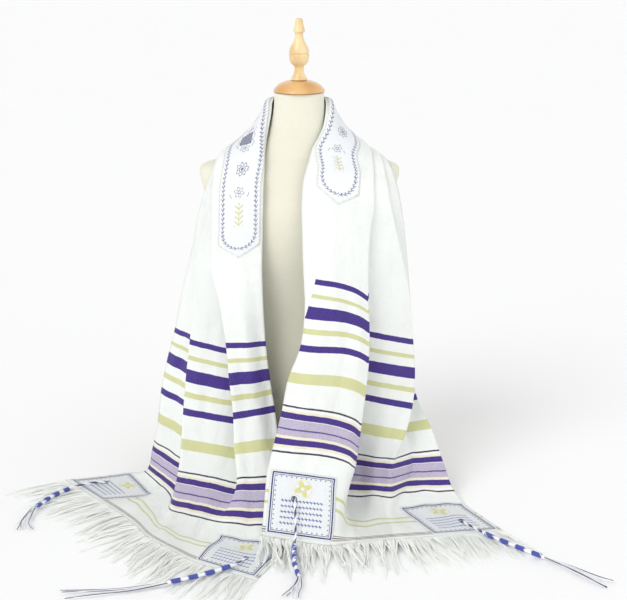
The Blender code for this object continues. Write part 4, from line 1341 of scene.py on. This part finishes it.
def nearest_on_sheet(sheet, point):
    """The sheet's grid point that is nearest, with its outward direction."""
    away = np.linalg.norm(sheet.grid - np.array(point), axis=2)
    row, column = np.unravel_index(int(np.argmin(away)), away.shape)
    return sheet.grid[row, column], sheet.normals[row, column]


def linen_look():
    """Natural linen stretched over the form."""
    shade = Shade("linen", 0.82, sheen=0.2)
    where = shade.place()
    x, y, z = shade.parts(where)
    weft = shade.noise(shade.vector(x * 40, y * 40, z * 900), 1.0, detail=2.0)
    warp = shade.noise(shade.vector(x * 900, y * 900, z * 40), 1.0, detail=2.0)
    blotch = shade.noise(where, 5.0, detail=2.0)
    colour = shade.mix(LINEN, LINEN_SHADE, (weft + warp) * 0.5)
    colour = shade.mix(colour, LINEN_PALE, blotch.power(2.0) * 0.6)
    shade.colour(colour)
    shade.relief(weft + warp, 0.00035, 0.8)
    return shade.mat


def torso_ring(level):
    """One level of the form: a squared oval whose front and back differ, with its seams."""
    height, half_width, front, back = [value * MM for value in level]
    middle = (front + back) / 2
    depth = (back - front) / 2
    power = 2 / TORSO_SQUARENESS
    ring = []
    for k in range(TORSO_SIDES):
        angle = math.tau * k / TORSO_SIDES
        cos, sin = math.cos(angle), math.sin(angle)
        x = half_width * math.copysign(abs(cos) ** power, cos)
        y = depth * math.copysign(abs(sin) ** power, sin)
        reach = math.hypot(x, y)
        seam = min(abs(x) if y > 0 else 1.0, abs(y)) / TORSO_SEAM_WIDTH
        inset = TORSO_EASE + TORSO_SEAM_DEPTH * math.exp(-(seam**2))
        scale = (reach - inset) / reach
        ring.append((x * scale, middle + y * scale, height))
    return ring


def make_torso(look):
    """The limbless form: a smooth loft of ovals, with a rounded lower edge and a flat base."""
    table = np.array(TORSO_ROWS, float)
    heights = np.linspace(0, table[-1, 0], TORSO_LEVELS + 1)
    sizes = smooth_read(table[:, 0], table[:, 1:], heights)
    rings = []
    for height, size in zip(heights, sizes):
        curl = TORSO_CURL * max(0.0, 1 - height / TORSO_CURL_HEIGHT) ** 2
        rings.append(torso_ring((height, size[0] - curl, size[1] + curl, size[2] - curl)))
    mesh = mesh_from_rings("form", rings, TORSO_SHARP_DEG)
    return add_piece("form", mesh, look, "linen", "dress_form_torso")


def wood_look(name, light, dark, ring_scale, rim=0.0):
    """Varnished wood with its growth rings along the turning axis, and painted shade on its lower edge
    under the rim.
    """
    shade = Shade(name, 0.35, coat=0.5)
    where = shade.place()
    warped = shade.noise(where, 9.0, detail=3.0)
    x, y, z = shade.parts(where)
    rings = ((x * ring_scale + y * ring_scale * 0.4 + z * 22 + warped * 4) * 2.2).sine() * 0.5 + 0.5
    fibre = shade.noise(shade.vector(x * 420, y * 420, z * 26), 1.0, detail=3.0)
    grained = shade.mix(light, dark, (rings * 0.55 + fibre * 0.45).power(1.6))
    # Painted shade: the colour darkens towards the cap's lower edge, up to the rim height
    painted_rim_shade = shade.spread(z, rim, rim + 0.0016, 0.75, 0.0)
    shade.colour(shade.mix(grained, RIM_PAINTED_SHADE, painted_rim_shade))
    shade.relief(fibre, 0.0002, 0.6)
    return shade.mat


def cap_profile():
    base = (NECK_TOP + SEAM_GAP) / MM
    radius = CAP_RADIUS / MM
    top = base + CAP_TALL / MM
    return [
        (0, top), (16, top - 0.5), (24, top - 1.9), (32, top - 5), (38, top - 9), (43, base + 6),
        (radius, base + 3.2), (radius, base + 1), (radius - 1.3, base), (0, base),
    ]


def finial_profile():
    base = (NECK_TOP + CAP_TALL + 2 * SEAM_GAP) / MM
    return [
        (0, base + 106), (4.6, base + 105.4), (6.2, base + 103), (7.0, base + 98), (9.0, base + 90),
        (10.2, base + 85), (9.8, base + 82.5), (8.0, base + 81.5), (7.8, base + 73), (9.5, base + 67),
        (14.5, base + 58), (17.2, base + 50), (17.6, base + 46.6), (16.6, base + 45.4), (17.4, base + 44.2),
        (17.2, base + 38), (15.6, base + 31), (11.5, base + 26), (9.4, base + 24), (9.2, base + 13),
        (11.0, base + 8), (14.2, base + 2.5), (14.4, base + 0.8), (13.8, base), (0, base),
    ]


def make_turned(name, node, profile, look, slot):
    """A turned piece: its profile, rounded, spun about the form's axis."""
    points = np.array(profile, float) * MM
    marks = path_marks(points)
    places = np.unique(np.concatenate([np.linspace(a, b, 5) for a, b in zip(marks, marks[1:])]))
    curve = smooth_read(marks, points, places)
    curve[:, 0] = np.clip(curve[:, 0], 0.0, points[:, 0].max())
    curve[:, 1] = np.clip(curve[:, 1], points[:, 1].min(), points[:, 1].max())
    turns = [math.tau * k / TURNED_SIDES for k in range(TURNED_SIDES)]
    rings = []
    for radius, height in curve[-2:0:-1]:
        rings.append([(radius * math.cos(turn), radius * math.sin(turn), height) for turn in turns])
    mesh = mesh_from_rings(name, rings, TURNED_SHARP_DEG)
    return add_piece(name, mesh, look, slot, node)


# The room: bright low down, dimmer overhead; then its lamps: place, strength, spread in degrees
ROOM_LOW = 1.0
ROOM_HIGH = 0.50
ROOM_FADE = (0.30, 0.75)
FLOOR_REACH = 40.0
AIM = (0.0, -0.1, 0.35)
SUNS = (
    ("key", (-1.7, -2.2, 2.6), 1.32, 34),
    ("fill", (2.2, -1.2, 2.4), 0.58, 70),
)


def make_room():
    """A white room whose walls are brighter than its ceiling."""
    world = bpy.data.worlds.new("soft_room")
    world.use_nodes = True
    tree = world.node_tree
    way = tree.nodes.new("ShaderNodeTexCoord")
    apart = tree.nodes.new("ShaderNodeSeparateXYZ")
    height = tree.nodes.new("ShaderNodeMapRange")
    height.inputs["From Min"].default_value = ROOM_FADE[0]
    height.inputs["From Max"].default_value = ROOM_FADE[1]
    height.inputs["To Min"].default_value = ROOM_LOW
    height.inputs["To Max"].default_value = ROOM_HIGH
    tree.links.new(way.outputs["Generated"], apart.inputs[0])
    tree.links.new(apart.outputs[2], height.inputs["Value"])
    tree.links.new(height.outputs[0], tree.nodes["Background"].inputs["Strength"])
    tree.nodes["Background"].inputs["Color"].default_value = (1.0, 1.0, 1.0, 1.0)
    return world


def make_stage():
    """A pale floor, soft lights and the camera at the photograph's angle."""
    floor_mesh = bpy.data.meshes.new("floor")
    corners = [(x * FLOOR_REACH, y * FLOOR_REACH, 0) for x, y in ((-1, -1), (1, -1), (1, 1), (-1, 1))]
    floor_mesh.from_pydata(corners, [], [(0, 1, 2, 3)])
    floor = bpy.data.objects.new("floor", floor_mesh)
    bpy.context.scene.collection.objects.link(floor)
    pale = Shade("pale_floor", 0.6)
    grain = pale.noise(pale.place(), 3.0)
    pale.colour(pale.mix(FLOOR_PALE, FLOOR_WHITE, grain))
    floor_mesh.materials.append(pale.mat)

    bpy.context.scene.world = make_room()
    for name, place, strength, spread in SUNS:
        lamp = bpy.data.lights.new(name, "SUN")
        lamp.energy = strength
        lamp.angle = math.radians(spread)
        holder = bpy.data.objects.new(name, lamp)
        holder.location = place
        holder.rotation_euler = (Vector(AIM) - Vector(place)).to_track_quat("-Z", "Y").to_euler()
        bpy.context.scene.collection.objects.link(holder)

    camera_data = bpy.data.cameras.new("camera")
    camera_data.sensor_fit = "HORIZONTAL"
    camera_data.sensor_width = SENSOR_MM
    camera_data.lens = FOCAL_PX / FRAME_WIDTH_PX * SENSOR_MM
    camera = bpy.data.objects.new("camera", camera_data)
    camera.location = CAMERA_PLACE
    camera.rotation_euler = (math.radians(90 - CAMERA_TILT_DEG), 0, 0)
    bpy.context.scene.collection.objects.link(camera)
    bpy.context.scene.camera = camera


bpy.context.scene.view_settings.view_transform = "Standard"
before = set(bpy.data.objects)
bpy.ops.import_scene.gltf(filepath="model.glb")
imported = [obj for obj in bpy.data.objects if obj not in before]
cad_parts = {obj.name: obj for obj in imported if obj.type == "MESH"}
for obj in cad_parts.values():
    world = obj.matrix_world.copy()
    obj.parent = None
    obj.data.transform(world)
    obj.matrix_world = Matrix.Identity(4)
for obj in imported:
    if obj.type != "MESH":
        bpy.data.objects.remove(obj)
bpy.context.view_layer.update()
make_stage()
sheet = Sheet()
shawl = make_cloth(sheet)
with_shawl = [make_atarah(sheet)]
satin = patch_look()
for side in ("left", "right"):
    for end in ("front", "back"):
        with_shawl.append(make_patch(sheet, f"patch_{side}_{end}", side == "left", end == "front", satin))
fringe_yarn = yarn_look("fringe_yarn", 0.85, 700)
for side in ("left", "right"):
    with_shawl.append(make_fringe(sheet, side == "left", fringe_yarn))
cord_yarn = yarn_look("cord_yarn", 0.6, 900)
for end, route in TASSELS.items():
    with_shawl.append(make_tassel(end, route, cord_yarn))
with_shawl.append(make_eyelets(sheet, cord_yarn))
make_torso(linen_look())
cap_wood = wood_look("cap_wood_grain", CAP_LIGHT, CAP_DARK, 60, NECK_TOP + 0.0012)
finial_wood = wood_look("finial_wood_grain", FINIAL_LIGHT, FINIAL_DARK, 90)
make_turned("cap", "neck_cap", cap_profile(), cap_wood, "cap_wood")
make_turned("finial", "neck_finial", finial_profile(), finial_wood, "finial_wood")
